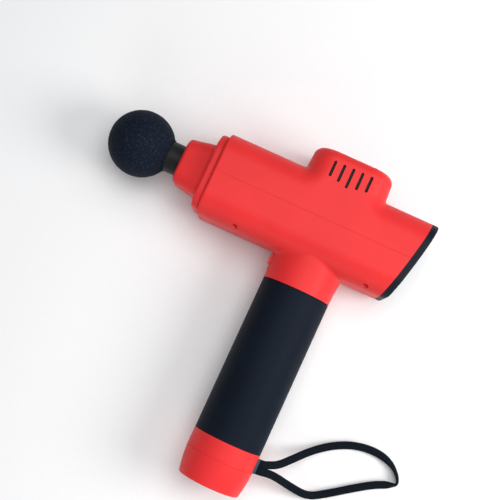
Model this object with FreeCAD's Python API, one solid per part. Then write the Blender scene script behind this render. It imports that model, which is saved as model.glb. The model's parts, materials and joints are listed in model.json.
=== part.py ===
import FreeCAD, Part
import math
import os

# Handheld percussion massage gun, lying on its flat side. Millimetres.
# The barrel runs along X with its nose at -X, the motor hump points to +Y and the handle to -Y.
# Every piece is drawn about the mid-plane z = 0 and lifted by half the barrel's width at the end,
# so the flat side rests on z = 0 and the origin lies under the crossing of barrel and handle axes.

# ---- Barrel, hump and collar ----
BARREL_WIDTH = 62.0
BARREL_HEIGHT = 62.4
BARREL_CORNER = 17.0
BARREL_FRONT_X = -87.5
WALL = 2.5
FRONT_LIP_FILLET = 1.5
SEAM_Y = 1.0
SEAM_WIDTH = 0.3
SEAM_DEPTH = 0.35
HUMP_RISE = 18.1
HUMP_SHIFT_X = 1.0
HUMP_HALF_LENGTH = 30.7
HUMP_DRAFT = 1.1
HUMP_FILLET = 6.5
HUMP_BLEND = 2.0
COLLAR_DROP = 19.8
COLLAR_FLARE = 1.2
COLLAR_BLEND = 3.0

# ---- Rear panel, an oblique bowed plate ----
REAR_X = 62.5
REAR_RADIUS = 480.0
REAR_TILT = 12.4
PANEL_THICKNESS = 5.0
PANEL_TOE_FILLET = 4.5
PANEL_EDGE_FILLET = 1.4
PANEL_LIP_DEPTH = 2.4
PANEL_LIP_WALL = 1.5
BUTTON_TILT = 11.4
BUTTON_RADIUS = 8.0
BUTTON_PROUD = 0.9
BUTTON_GAP = 0.3
LENS_TILT = 13.6
LENS_RADIUS = 1.3
LENS_PITCH = 6.0
LENS_SINK = 0.1
LENS_COUNT = 5

# ---- Vents and housing screws ----
VENT_PITCH = 6.9
VENT_WIDTH = 2.1
VENT_SHIFT_X = 0.6
VENT_TOP_INSET = 7.6
VENT_BOTTOM_RISE = (-1.6, -2.9, -4.7)
SCREEN_THICKNESS = 0.8
SCREEN_MARGIN = 2.0
SCREW_X = (-58.2, 42.4)
SCREW_Z = 22.0
SCREW_HEAD_RADIUS = 2.1
SCREW_HEAD_HEIGHT = 1.8
SCREW_SHANK_RADIUS = 1.3
SCREW_RECESS_DEPTH = 3.9
SCREW_BOSS_RADIUS = 4.0
SCREW_BITE = 8.0

# ---- Front ring, nose cone and dust seal ----
RING_HEIGHT = 56.6
RING_WIDTH = 56.0
RING_CORNER = 14.0
RING_LENGTH = 6.0
RING_GROOVE = 0.6
RING_GROOVE_DEPTH = 0.9
NOSE_LENGTH = 20.6
NOSE_REAR_SIZE = 40.4
NOSE_FRONT_SIZE = 33.6
NOSE_CORNER = 9.5
NOSE_FILLET = 3.0
NOSE_LIP = 2.0
SEAL_LENGTH = 3.0
SEAL_RADIAL = 1.8
SEAL_GAP = 0.3

# ---- Linear drive ----
STROKE = 12.0
ROD_LENGTH = 52.0
PLUNGER_RADIUS = 12.5
PLUNGER_FRONT_X = -103.5
PLUNGER_REAR_X = -63.0
SOCKET_DEPTH = 26.0
RUNNING_FIT = 0.05
BUSH_WALL = 1.95
BLOCK_WALL = 3.5
BLOCK_FRONT_X = -90.0
BLOCK_REAR_X = -66.0
ROD_THICKNESS = 6.0
ROD_GAP = 0.5
EAR_THICKNESS = 4.5
EAR_RADIUS = 8.0
WRIST_PIN_RADIUS = 3.0
WRIST_BUSH_WALL = 2.0
CRANK_PIN_RADIUS = 3.0
CRANK_BEARING_RADIUS = 6.5
CRANK_BEARING_WIDTH = 5.0
BIG_END_WALL = 3.0
OPEN_PIVOT_GAP = 0.3
CRANK_RADIUS = 15.0
CRANK_THICKNESS = 4.5
COUNTERWEIGHT_THICKNESS = 3.5
CRANK_PLATE_GAP = 1.5
PIN_PROUD = 0.7
PLATE_THICKNESS = 4.0
PLATE_GAP = 0.5

# ---- Outrunner motor and fan ----
SHAFT_RADIUS = 2.5
BEARING_RADIUS = 6.5
BEARING_WIDTH = 4.0
STATOR_BOSS_RADIUS = 8.5
STATOR_RADIUS = 17.8
STATOR_TEETH = 9
TOOTH_WIDTH = 4.4
SHOE_THICKNESS = 1.6
COIL_THICKNESS = 1.9
MAGNET_THICKNESS = 1.8
MAGNET_COUNT = 12
AIR_GAP = 0.5
BELL_WALL = 1.7
BELL_ROOF = 1.5
FAN_RADIUS = 21.0
FAN_HEIGHT = 6.5
FAN_BLADES = 9
FAN_TOP_GAP = 1.9

# ---- Ball attachment ----
BALL_RADIUS = 24.6
BALL_X = -146.5
NECK_STEP = 1.0
CORE_RADIUS = 8.0
CORE_DEPTH = 10.0
NECK_GAP = 0.5
SOCKET_WALL = 2.5
STUB_LENGTH = 24.0
O_RING_RADIUS = 0.75

# ---- Battery handle ----
CELL_RADIUS = 9.15
CELL_LENGTH = 65.0
CELL_SPACING = 0.09
TUBE_CLEARANCE = 1.43
TUBE_WALL = 1.6
SLEEVE_THICKNESS = 2.5
SOCKET_CLEARANCE = 0.4
TUBE_TOP_DEPTH = 23.5
SLEEVE_GAP = 0.3
SLEEVE_LENGTH = 116.4
BAND_LENGTH = 13.2
BAND_PROUD = 0.1
BASE_LENGTH = 20.1
BASE_MID_INSET = 0.8
BASE_END_INSET = 2.4
BASE_BEVEL = 1.2
BASE_FLOOR = 3.5
BASE_POCKET_INSET = 7.4
BASE_POCKET_DEPTH = 2.5
SEAM_BEVEL = 0.25
TOP_CAP_THICKNESS = 3.0
CELL_TOP_GAP = 3.0
STRIP_THICKNESS = 0.3
TIER_GAP = 1.0
SPACER_THICKNESS = 5.0
BOARD_THICKNESS = 1.6
BOARD_GAP = 2.0
BULKHEAD_THICKNESS = 2.0

# ---- Charge jack and rocker switch in the base ----
JACK_X = 10.0
JACK_RADIUS = 4.8
JACK_BORE_RADIUS = 2.85
JACK_PIN_RADIUS = 1.05
JACK_DEPTH = 9.0
JACK_BODY_LENGTH = 12.5
SWITCH_X = -8.4
SWITCH_LENGTH = 14.0
SWITCH_WIDTH = 12.6
SWITCH_BODY_DEPTH = 12.5
SWITCH_RIM = 0.7
SWITCH_WALL = 1.6
ROCKER_GAP = 0.3
ROCKER_PIVOT_DEPTH = 2.1
ROCKER_TILT = 10.0
ROCKER_PIN_RADIUS = 1.0
BASE_SCREW_Z = 14.0
BASE_POST_RADIUS = 3.0

# ---- Battery release button ----
RELEASE_TOP_DROP = 1.8
RELEASE_HEIGHT = 8.0
RELEASE_WIDTH = 12.0
RELEASE_PROUD = 1.1
RELEASE_GAP = 0.3
RELEASE_TRAVEL = 1.3
RELEASE_FLANGE = 0.7
RELEASE_FLANGE_LIP = 1.5
LEAF_THICKNESS = 0.4
LEAF_GAP = 0.1
LEAF_WIDTH = 5.0

# ---- Wrist strap ----
ANCHOR_HEIGHT = 10.8
ANCHOR_WIDTH = 9.0
ANCHOR_PROUD = 1.4
STRAP_WIDTH = 5.0
STRAP_ARC_SHARE = 0.45
STRAP_ROUTE = (
    (26.8, -172.9, 31.0), (31.0, -172.9, 31.0), (35.4, -172.1, 30.2), (39.6, -170.5, 28.5),
    (43.3, -168.0, 25.9), (47.6, -163.4, 21.0), (53.4, -157.0, 14.2), (61.5, -149.2, 8.0),
    (71.8, -140.8, 4.0), (83.4, -134.2, 2.7), (95.6, -130.6, 2.6), (107.0, -130.6, 2.6),
    (117.0, -134.4, 2.6), (123.8, -140.2, 2.6), (125.6, -147.0, 2.6), (120.4, -151.4, 2.6),
    (110.6, -155.8, 2.6), (97.9, -164.9, 2.6), (85.6, -174.2, 2.6), (76.2, -179.8, 2.8),
    (67.6, -182.0, 5.8), (59.2, -181.6, 11.2), (51.2, -180.1, 17.9), (44.4, -178.9, 23.8),
    (39.8, -178.4, 27.6), (35.6, -178.2, 29.9), (31.2, -178.1, 31.0), (26.8, -178.1, 31.0),
)

V = FreeCAD.Vector
X_AXIS = V(1, 0, 0)
Y_AXIS = V(0, 1, 0)
Z_AXIS = V(0, 0, 1)
FAR = 400.0

# ---- Places worked out from the sizes above ----
HALF_WIDTH = BARREL_WIDTH / 2
HALF_HEIGHT = BARREL_HEIGHT / 2
HUMP_TOP_Y = HALF_HEIGHT + HUMP_RISE
HUMP_ROOF_Y = HUMP_TOP_Y - WALL
COLLAR_END_Y = -HALF_HEIGHT - COLLAR_DROP
FLOOR_Y = -HALF_HEIGHT + WALL
RING_FRONT_X = BARREL_FRONT_X - RING_LENGTH
NOSE_FRONT_X = RING_FRONT_X - NOSE_LENGTH
REAR_CENTRE = V(
    REAR_X - REAR_RADIUS * math.cos(math.radians(REAR_TILT)),
    REAR_RADIUS * math.sin(math.radians(REAR_TILT)),
    0,
)
THROW = STROKE / 2
WRIST_X = -math.sqrt(ROD_LENGTH ** 2 - THROW ** 2)
BUSH_INNER = PLUNGER_RADIUS + RUNNING_FIT
BUSH_OUTER = BUSH_INNER + BUSH_WALL
BLOCK_RADIUS = BUSH_OUTER + BLOCK_WALL
FRONT_OPENING = BLOCK_RADIUS + 0.5
PLATE_BOTTOM_Y = PLUNGER_RADIUS + PLATE_GAP
PLATE_TOP_Y = PLATE_BOTTOM_Y + PLATE_THICKNESS
CRANK_TOP_Y = PLATE_BOTTOM_Y - CRANK_PLATE_GAP - COUNTERWEIGHT_THICKNESS
CRANK_BOTTOM_Y = CRANK_TOP_Y - CRANK_THICKNESS
PIN_TOP_Y = CRANK_BOTTOM_Y - OPEN_PIVOT_GAP
ROD_TOP_Y = PIN_TOP_Y - PIN_PROUD
ROD_BOTTOM_Y = ROD_TOP_Y - ROD_THICKNESS
NECK_RADIUS = PLUNGER_RADIUS - NECK_STEP
STUB_RADIUS = PLUNGER_RADIUS - SOCKET_WALL
FAN_TOP_Y = HUMP_ROOF_Y - FAN_TOP_GAP
FAN_BOTTOM_Y = FAN_TOP_Y - FAN_HEIGHT
BELL_TOP_Y = FAN_BOTTOM_Y - 1.5
BELL_BOTTOM_Y = PLATE_TOP_Y + 2.0
BELL_ROOF_Y = BELL_TOP_Y - BELL_ROOF
BOSS_TOP_Y = BELL_ROOF_Y - 2.5
STATOR_LOW_Y = PLATE_TOP_Y + 2.6 + COIL_THICKNESS
STATOR_HIGH_Y = BOSS_TOP_Y - 1.0
MAGNET_INNER = STATOR_RADIUS + AIR_GAP
BELL_INNER = MAGNET_INNER + MAGNET_THICKNESS
BELL_RADIUS = BELL_INNER + BELL_WALL
NECK_END_X = PLUNGER_FRONT_X - NECK_GAP
CELL_RING = (CELL_RADIUS + CELL_SPACING / 2) * 2 / math.sqrt(3)
TUBE_INNER = CELL_RING + CELL_RADIUS + TUBE_CLEARANCE
TUBE_RADIUS = TUBE_INNER + TUBE_WALL
HANDLE_RADIUS = TUBE_RADIUS + SLEEVE_THICKNESS
COLLAR_INNER = TUBE_RADIUS + SOCKET_CLEARANCE
TUBE_TOP_Y = COLLAR_END_Y + TUBE_TOP_DEPTH
SLEEVE_TOP_Y = COLLAR_END_Y - SLEEVE_GAP
BAND_TOP_Y = SLEEVE_TOP_Y - SLEEVE_LENGTH
BASE_TOP_Y = BAND_TOP_Y - BAND_LENGTH
BASE_END_Y = BASE_TOP_Y - BASE_LENGTH
BAND_RADIUS = HANDLE_RADIUS + BAND_PROUD
POCKET_Y = BASE_END_Y + BASE_POCKET_DEPTH
BASE_FLOOR_Y = POCKET_Y + BASE_FLOOR
BASE_INNER = TUBE_INNER + 0.2
CELL_TOP_Y = TUBE_TOP_Y - TOP_CAP_THICKNESS - CELL_TOP_GAP
CELL_END_Y = CELL_TOP_Y - 2 * CELL_LENGTH - TIER_GAP
CELL_ANGLES = (0, 120, 240)
RELEASE_TOP_Y = -HALF_HEIGHT - RELEASE_TOP_DROP
RELEASE_LOW_Y = RELEASE_TOP_Y - RELEASE_HEIGHT
RELEASE_MID_Y = (RELEASE_TOP_Y + RELEASE_LOW_Y) / 2
FLANGE_HALF = RELEASE_WIDTH / 2 + RELEASE_FLANGE_LIP
FLANGE_OUT_X = -(math.sqrt(COLLAR_INNER ** 2 - FLANGE_HALF ** 2) - RELEASE_GAP)
FLANGE_IN_X = FLANGE_OUT_X + RELEASE_FLANGE
LEAF_FRONT_X = FLANGE_IN_X + LEAF_GAP
FLUTE_X = LEAF_FRONT_X + LEAF_THICKNESS + RELEASE_TRAVEL + RELEASE_GAP
FLUTE_HALF = FLANGE_HALF + 0.6
FLUTE_END_Y = RELEASE_LOW_Y - RELEASE_FLANGE_LIP - 4.0
ANCHOR_Y = (BAND_TOP_Y + BASE_TOP_Y) / 2 - 1.2


def block(x, y, z):
    """Box between the two limits given for each axis."""
    return Part.makeBox(x[1] - x[0], y[1] - y[0], z[1] - z[0], V(x[0], y[0], z[0]))


def x_rod(radius, x, y=0.0, z=0.0):
    return Part.makeCylinder(radius, x[1] - x[0], V(x[0], y, z), X_AXIS)


def y_rod(radius, y, x=0.0, z=0.0):
    return Part.makeCylinder(radius, y[1] - y[0], V(x, y[0], z), Y_AXIS)


def z_rod(radius, z, x=0.0, y=0.0):
    return Part.makeCylinder(radius, z[1] - z[0], V(x, y, z[0]), Z_AXIS)


def x_tube(outer, inner, x):
    return x_rod(outer, x).cut(x_rod(inner, x))


def y_tube(outer, inner, y, x=0.0, z=0.0):
    return y_rod(outer, y, x, z).cut(y_rod(inner, y, x, z))


def turned(shape, angle, axis=Y_AXIS, centre=V(0, 0, 0)):
    copy = shape.copy()
    copy.rotate(centre, axis, angle)
    return copy


def joined(shapes):
    """One solid from pieces that overlap or touch."""
    first, rest = shapes[0], list(shapes[1:])
    return first.fuse(rest).removeSplitter() if rest else first


def group(shapes):
    """Separate solids that share one node."""
    return Part.makeCompound(shapes)


def outline(x, height, width, corner):
    """Rounded rectangle across the barrel at x."""
    flat_y = height / 2 - corner
    flat_z = width / 2 - corner
    arcs = []
    for quarter, (side_y, side_z) in enumerate(((1, 1), (-1, 1), (-1, -1), (1, -1))):
        centre = V(x, side_y * flat_y, side_z * flat_z)
        angles = [math.radians(90 * quarter + turn) for turn in (0, 45, 90)]
        arcs.append([centre + V(0, corner * math.cos(a), corner * math.sin(a)) for a in angles])
    edges = []
    for points, following in zip(arcs, arcs[1:] + arcs[:1]):
        edges.append(Part.Arc(*points).toShape())
        edges.append(Part.LineSegment(points[2], following[0]).toShape())
    return Part.Wire(edges)


def bar(x, height, width, corner):
    """Rounded rectangular bar along the barrel."""
    return Part.Face(outline(x[0], height, width, corner)).extrude(V(x[1] - x[0], 0, 0))


def rear_drum(offset):
    """Cylinder whose wall is the bowed rear surface, moved outwards by offset."""
    base = V(REAR_CENTRE.x, REAR_CENTRE.y, -FAR / 2)
    return Part.makeCylinder(REAR_RADIUS + offset, FAR, base, Z_AXIS)


def barrel_bar(inset, front_x=BARREL_FRONT_X, drum_offset=0.0):
    """The barrel's outline, inset all round, ending at the bowed rear surface."""
    shape = bar(
        (front_x, FAR / 2),
        BARREL_HEIGHT - 2 * inset,
        BARREL_WIDTH - 2 * inset,
        BARREL_CORNER - inset,
    )
    return shape.common(rear_drum(drum_offset))


def edges_where(shape, test):
    """Edges whose every sampled point passes the test."""
    found = []
    for edge in shape.Edges:
        low, high = edge.FirstParameter, edge.LastParameter
        samples = [edge.valueAt(low + (high - low) * step / 6) for step in range(7)]
        if all(test(p) for p in samples):
            found.append(edge)
    return found


def long_edges(shape, test):
    """Edges whose middle passes the test."""
    return [e for e in shape.Edges if test(e.valueAt((e.FirstParameter + e.LastParameter) / 2))]


def panel_point(tilt, depth):
    """Point on the panel's outer surface at this tilt below the centre, moved inwards by depth."""
    reach = REAR_RADIUS + PANEL_THICKNESS - depth
    angle = math.radians(-tilt)
    return REAR_CENTRE + V(reach * math.cos(angle), reach * math.sin(angle), 0)


def panel_rod(tilt, radius, depth, across=0.0, along=0.0):
    """Cylinder square to the rear panel between two depths below its outer surface."""
    angle = math.radians(-tilt)
    outward = V(math.cos(angle), math.sin(angle), 0)
    upward = V(-outward.y, outward.x, 0)
    base = panel_point(tilt, depth[1]) + upward * along + V(0, 0, across)
    return Part.makeCylinder(radius, depth[1] - depth[0], base, outward)


def panel_slab(tilt, half_up, half_across, depth):
    """Flat plate square to the rear panel's normal between two depths."""
    slab = block((-depth[1], -depth[0]), (-half_up, half_up), (-half_across, half_across))
    slab.rotate(V(0, 0, 0), Z_AXIS, -tilt)
    slab.translate(panel_point(tilt, 0.0))
    return slab


def ball_bearing(bore, outer, y, balls, x=0.0, z=0.0):
    """Two races and a ring of balls, turning about Y."""
    race = (outer - bore) * 0.32
    track = (outer + bore) / 2
    ball_radius = (outer - bore - 2 * race) / 2 - 0.05
    middle = (y[0] + y[1]) / 2
    pieces = [y_tube(bore + race, bore, y, x, z), y_tube(outer, outer - race, y, x, z)]
    for index in range(balls):
        angle = 2 * math.pi * index / balls
        centre = V(x + track * math.cos(angle), middle, z + track * math.sin(angle))
        pieces.append(Part.makeSphere(ball_radius, centre))
    return group(pieces)


def barrel_and_hump(inset, front_x):
    """Barrel and hump as one upright T whose long edges are all rounded alike, inset all round."""
    low, high = -HALF_HEIGHT + inset, HALF_HEIGHT - inset
    top = HUMP_TOP_Y - inset
    half = HUMP_HALF_LENGTH - inset
    top_half = half - HUMP_DRAFT
    corners = [
        (front_x, low), (FAR / 2, low), (FAR / 2, high), (HUMP_SHIFT_X + half, high),
        (HUMP_SHIFT_X + top_half, top), (HUMP_SHIFT_X - top_half, top),
        (HUMP_SHIFT_X - half, high), (front_x, high), (front_x, low),
    ]
    side = HALF_WIDTH - inset
    profile = Part.Face(Part.makePolygon([V(x, y, -side) for x, y in corners]))
    shape = profile.extrude(V(0, 0, 2 * side))

    def at_foot(p):
        return abs(p.y - high) < 0.01 and abs(abs(p.x - HUMP_SHIFT_X) - half) < 0.01

    def on_long_edge(p):
        inner_x = front_x + 0.01 < p.x < FAR / 2 - 0.01
        return abs(abs(p.z) - side) < 0.01 and p.y < top - 0.01 and inner_x

    def on_rim(p):
        return p.y > top - 0.01

    shape = shape.makeFillet(HUMP_BLEND + inset, edges_where(shape, at_foot))
    shape = shape.makeFillet(BARREL_CORNER - inset, long_edges(shape, on_long_edge))
    shape = shape.makeFillet(HUMP_FILLET - inset, edges_where(shape, on_rim))
    return shape.common(rear_drum(0.0))


def collar_solid():
    height = -COLLAR_END_Y
    flare = COLLAR_FLARE * height / COLLAR_DROP
    base = V(0, COLLAR_END_Y, 0)
    return Part.makeCone(HANDLE_RADIUS, HANDLE_RADIUS + flare, height, base, Y_AXIS)


def housing_outside():
    """Barrel, hump and collar as one solid with soft blends between them."""
    body = barrel_and_hump(0.0, BARREL_FRONT_X)
    front = edges_where(body, lambda p: abs(p.x - BARREL_FRONT_X) < 0.01)
    shape = joined([body.makeFillet(FRONT_LIP_FILLET, front), collar_solid()])

    def on_collar(p):
        radius = math.hypot(p.x, p.z)
        return -HALF_HEIGHT - 0.01 < p.y < -2.0 and abs(radius - HANDLE_RADIUS) < 3.5

    return shape.makeFillet(COLLAR_BLEND, edges_where(shape, on_collar))


def housing_cavity():
    inside = barrel_and_hump(WALL, BARREL_FRONT_X + WALL)
    throat = y_rod(COLLAR_INNER, (COLLAR_END_Y - 1, 0))
    mouth = x_rod(FRONT_OPENING, (BARREL_FRONT_X - 1, BARREL_FRONT_X + WALL + 1))
    return joined([inside, throat, mouth])


def vents():
    """Upright slots through both sides of the hump, the middle one longest."""
    half = VENT_WIDTH / 2
    top = HUMP_TOP_Y - VENT_TOP_INSET
    slots = []
    for index in range(-2, 3):
        low = HALF_HEIGHT + VENT_BOTTOM_RISE[2 - abs(index)]
        x = HUMP_SHIFT_X + VENT_SHIFT_X + index * VENT_PITCH
        slots.append(block((x - half, x + half), (low + half, top - half), (-FAR, FAR)))
        slots.append(z_rod(half, (-FAR, FAR), x, low + half))
        slots.append(z_rod(half, (-FAR, FAR), x, top - half))
    return joined(slots)


def vent_screens():
    """Thin plate behind each side's slots, lying against the inner wall."""
    half = 2 * VENT_PITCH + VENT_WIDTH / 2 + SCREEN_MARGIN
    middle = HUMP_SHIFT_X + VENT_SHIFT_X
    low = HALF_HEIGHT + VENT_BOTTOM_RISE[2] - SCREEN_MARGIN
    high = HUMP_TOP_Y - VENT_TOP_INSET + SCREEN_MARGIN
    outer = barrel_and_hump(WALL, BARREL_FRONT_X + WALL)
    inner = barrel_and_hump(WALL + SCREEN_THICKNESS, BARREL_FRONT_X + WALL)
    skin = outer.cut(inner)
    sides = [(-FAR, 0), (0, FAR)]
    return group([skin.common(block((middle - half, middle + half), (low, high), z)) for z in sides])


def seam():
    """Shallow groove round the barrel where its two halves meet."""
    half = SEAM_WIDTH / 2
    band = block((-FAR, FAR), (SEAM_Y - half, SEAM_Y + half), (-FAR, FAR))
    return barrel_bar(0.0).cut(barrel_bar(SEAM_DEPTH)).common(band)


def screw_places():
    return [(x, side * SCREW_Z) for x in SCREW_X for side in (-1, 1)]


def frame_places():
    """The four posts that carry the drive frame."""
    reach = BARREL_WIDTH / 2 - 11.0
    return [(x, side * reach) for x in (-44.0, 20.0) for side in (-1, 1)]


def screw_head_y():
    return -HALF_HEIGHT + SCREW_RECESS_DEPTH


def release_window(gap):
    """Space of the release button in the collar wall, widened by gap."""
    half = RELEASE_WIDTH / 2 + gap
    return block((-FAR, 0), (RELEASE_LOW_Y - gap, RELEASE_TOP_Y + gap), (-half, half))


def leaf_seat_top():
    return TUBE_TOP_Y + 3.1


def housing_halves():
    outside = housing_outside()
    shell = outside.cut([housing_cavity(), vents(), seam()])
    lower = shell.common(block((-FAR, FAR), (-FAR, SEAM_Y), (-FAR, FAR)))
    upper = shell.common(block((-FAR, FAR), (SEAM_Y, FAR), (-FAR, FAR)))
    head_y = screw_head_y()
    lower_bosses = [y_rod(SCREW_BOSS_RADIUS, (-FAR, SEAM_Y), x, z) for x, z in screw_places()]
    lower = joined([lower] + [boss.common(outside) for boss in lower_bosses])
    seat_half = LEAF_WIDTH / 2 + 1.5
    seat_x = LEAF_FRONT_X
    outer_seat = (-COLLAR_INNER - 4.0, -COLLAR_INNER - 0.4)
    lower = joined([
        lower,
        block(outer_seat, (FLOOR_Y - 0.5, leaf_seat_top()), (-seat_half, seat_half)),
        block((outer_seat[1], seat_x), (TUBE_TOP_Y + 0.5, leaf_seat_top()), (-seat_half, seat_half)),
    ])
    drills = [y_rod(SCREW_HEAD_RADIUS + 0.1, (-FAR, head_y), x, z) for x, z in screw_places()]
    heads = (head_y, head_y + SCREW_HEAD_HEIGHT)
    drills += [y_rod(SCREW_HEAD_RADIUS, heads, x, z) for x, z in screw_places()]
    drills += [y_rod(SCREW_SHANK_RADIUS, (head_y, SEAM_Y + 1), x, z) for x, z in screw_places()]
    lower = lower.cut(drills + [release_window(RELEASE_GAP)])
    upper_bosses = [y_rod(SCREW_BOSS_RADIUS, (SEAM_Y, FAR), x, z) for x, z in screw_places()]
    frame_bosses = [y_rod(3.6, (PLATE_TOP_Y + 3.0, FAR), x, z) for x, z in frame_places()]
    upper = joined([upper] + [boss.common(outside) for boss in upper_bosses + frame_bosses])
    drills = [y_rod(SCREW_SHANK_RADIUS, (0, SEAM_Y + SCREW_BITE), x, z) for x, z in screw_places()]
    drills += [y_rod(1.5, (0, PLATE_TOP_Y + 7.5), x, z) for x, z in frame_places()]
    return lower, upper.cut(drills)


def housing_screws():
    head_y = screw_head_y()
    screws = []
    for x, z in screw_places():
        head = y_rod(SCREW_HEAD_RADIUS, (head_y, head_y + SCREW_HEAD_HEIGHT), x, z)
        shank = y_rod(SCREW_SHANK_RADIUS, (head_y + SCREW_HEAD_HEIGHT, SEAM_Y + SCREW_BITE), x, z)
        socket = y_rod(SCREW_HEAD_RADIUS * 0.5, (head_y - 1, head_y + 1.0), x, z)
        screws.append(joined([head, shank]).cut(socket))
    return group(screws)


def front_ring():
    """Rounded bead in front of the barrel, parted from it by a narrow groove."""
    groove_x = BARREL_FRONT_X - RING_GROOVE
    bead = bar((RING_FRONT_X, groove_x), RING_HEIGHT, RING_WIDTH, RING_CORNER)
    front = edges_where(bead, lambda p: abs(p.x - RING_FRONT_X) < 0.01)
    back = edges_where(bead, lambda p: abs(p.x - groove_x) < 0.01)
    bead = bead.makeFillet(2.2, front)
    back = edges_where(bead, lambda p: abs(p.x - groove_x) < 0.01)
    bead = bead.makeFillet(0.8, back)
    cut = 2 * RING_GROOVE_DEPTH
    neck = bar(
        (groove_x, BARREL_FRONT_X), RING_HEIGHT - cut, RING_WIDTH - cut, RING_CORNER - cut / 2
    )
    return joined([bead, neck]).cut(x_rod(FRONT_OPENING, (RING_FRONT_X - 1, BARREL_FRONT_X + 1)))


def nose_cone():
    """Tapered rounded-square nose with a round mouth for the attachment."""
    rear = outline(RING_FRONT_X, NOSE_REAR_SIZE, NOSE_REAR_SIZE, NOSE_CORNER)
    front = outline(NOSE_FRONT_X, NOSE_FRONT_SIZE, NOSE_FRONT_SIZE, NOSE_CORNER)
    cone = Part.makeLoft([rear, front], True, True)
    cone = cone.makeFillet(NOSE_FILLET, edges_where(cone, lambda p: abs(p.x - NOSE_FRONT_X) < 0.01))
    seal_front = NOSE_FRONT_X + NOSE_LIP
    seal_inner = PLUNGER_RADIUS + SEAL_GAP
    cavity_radius = PLUNGER_RADIUS + 2.5
    spigot = x_tube(FRONT_OPENING, cavity_radius + 1.0, (RING_FRONT_X, BLOCK_FRONT_X - 0.6))
    bores = [
        x_rod(PLUNGER_RADIUS + 1.0, (NOSE_FRONT_X - 1, seal_front + 1)),
        x_rod(seal_inner + SEAL_RADIAL, (seal_front, seal_front + SEAL_LENGTH + 1)),
        x_rod(cavity_radius, (seal_front + SEAL_LENGTH, RING_FRONT_X + 1)),
    ]
    return joined([cone.cut(bores), spigot])


def nose_seal():
    front = NOSE_FRONT_X + NOSE_LIP
    inner = PLUNGER_RADIUS + SEAL_GAP
    return x_tube(inner + SEAL_RADIAL, inner, (front, front + SEAL_LENGTH))


def lens_rods(outer_depth):
    """Rods through the rear panel from this depth below its outer surface."""
    first = -(LENS_COUNT - 1) / 2
    places = [(first + index) * LENS_PITCH for index in range(LENS_COUNT)]
    depth = (outer_depth, PANEL_THICKNESS)
    return [panel_rod(LENS_TILT, LENS_RADIUS, depth, across=z) for z in places]


def board_posts(radius, depth):
    return [
        panel_rod(BUTTON_TILT, radius, depth, across=z, along=up)
        for up in (-13.0, 13.0)
        for z in (-16.0, 16.0)
    ]


def panel_toe():
    """What is rounded off the panel's lower edge."""
    outer = REAR_RADIUS + PANEL_THICKNESS
    rise = PANEL_TOE_FILLET - HALF_HEIGHT - REAR_CENTRE.y
    reach = math.sqrt((outer - PANEL_TOE_FILLET) ** 2 - rise ** 2)
    centre = REAR_CENTRE + V(reach, rise, 0)
    outward = (centre - REAR_CENTRE).normalize() * FAR
    corner = V(centre.x + FAR, centre.y - FAR, 0)
    points = [centre, centre + outward, corner, centre - Y_AXIS * FAR, centre]
    wedge = Part.Face(Part.makePolygon([p - Z_AXIS * FAR for p in points])).extrude(Z_AXIS * 2 * FAR)
    return wedge.cut(z_rod(PANEL_TOE_FILLET, (-FAR, FAR), centre.x, centre.y))


def rear_panel():
    """Bowed plate with a locating lip, a round button hole and the lens holes."""
    plate = barrel_bar(0.0, 0.0, PANEL_THICKNESS).cut(rear_drum(0.0))
    outer_rim = []
    for edge in plate.Edges:
        middle = edge.valueAt((edge.FirstParameter + edge.LastParameter) / 2)
        reach = math.hypot(middle.x - REAR_CENTRE.x, middle.y - REAR_CENTRE.y)
        ends = [math.hypot(v.X - REAR_CENTRE.x, v.Y - REAR_CENTRE.y) for v in edge.Vertexes]
        if min([reach] + ends) > REAR_RADIUS + PANEL_THICKNESS - 0.05:
            outer_rim.append(edge)
    plate = plate.makeFillet(PANEL_EDGE_FILLET, outer_rim).cut(panel_toe())
    lip = barrel_bar(WALL, 0.0).cut(barrel_bar(WALL + PANEL_LIP_WALL, -1.0))
    lip = lip.cut(rear_drum(-PANEL_LIP_DEPTH))
    posts = board_posts(2.2, (PANEL_THICKNESS - 0.5, PANEL_THICKNESS + 4.2))
    hole = panel_rod(BUTTON_TILT, BUTTON_RADIUS + BUTTON_GAP, (-5, PANEL_THICKNESS + 5))
    return joined([plate, lip] + posts).cut([hole] + lens_rods(-1.0))


def power_button():
    """Round button with a flange that keeps it behind the panel."""
    flange_top = PANEL_THICKNESS + 0.5
    cap = panel_rod(BUTTON_TILT, BUTTON_RADIUS, (-BUTTON_PROUD, flange_top + 0.5))
    face_x = panel_point(BUTTON_TILT, -BUTTON_PROUD)
    rim = [e for e in cap.Edges if (e.CenterOfMass - face_x).Length < 0.01]
    cap = cap.makeFillet(0.6, rim)
    flange = panel_rod(BUTTON_TILT, BUTTON_RADIUS + 1.3, (flange_top, flange_top + 1.2))
    return joined([cap, flange])


def control_board():
    """Board behind the panel with its tact switch and light sources."""
    top = PANEL_THICKNESS + 4.2
    board = panel_slab(BUTTON_TILT, 16.0, 20.0, (top, top + BOARD_THICKNESS))
    switch = panel_rod(BUTTON_TILT, 2.0, (top - 0.9, top))
    chips = [
        panel_slab(BUTTON_TILT, 4.0, 4.0, (top + BOARD_THICKNESS, top + BOARD_THICKNESS + 1.2)),
    ]
    return joined([board, switch] + chips)


def plunger_bush():
    return x_tube(BUSH_OUTER, BUSH_INNER, (BLOCK_FRONT_X, BLOCK_REAR_X))


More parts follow.
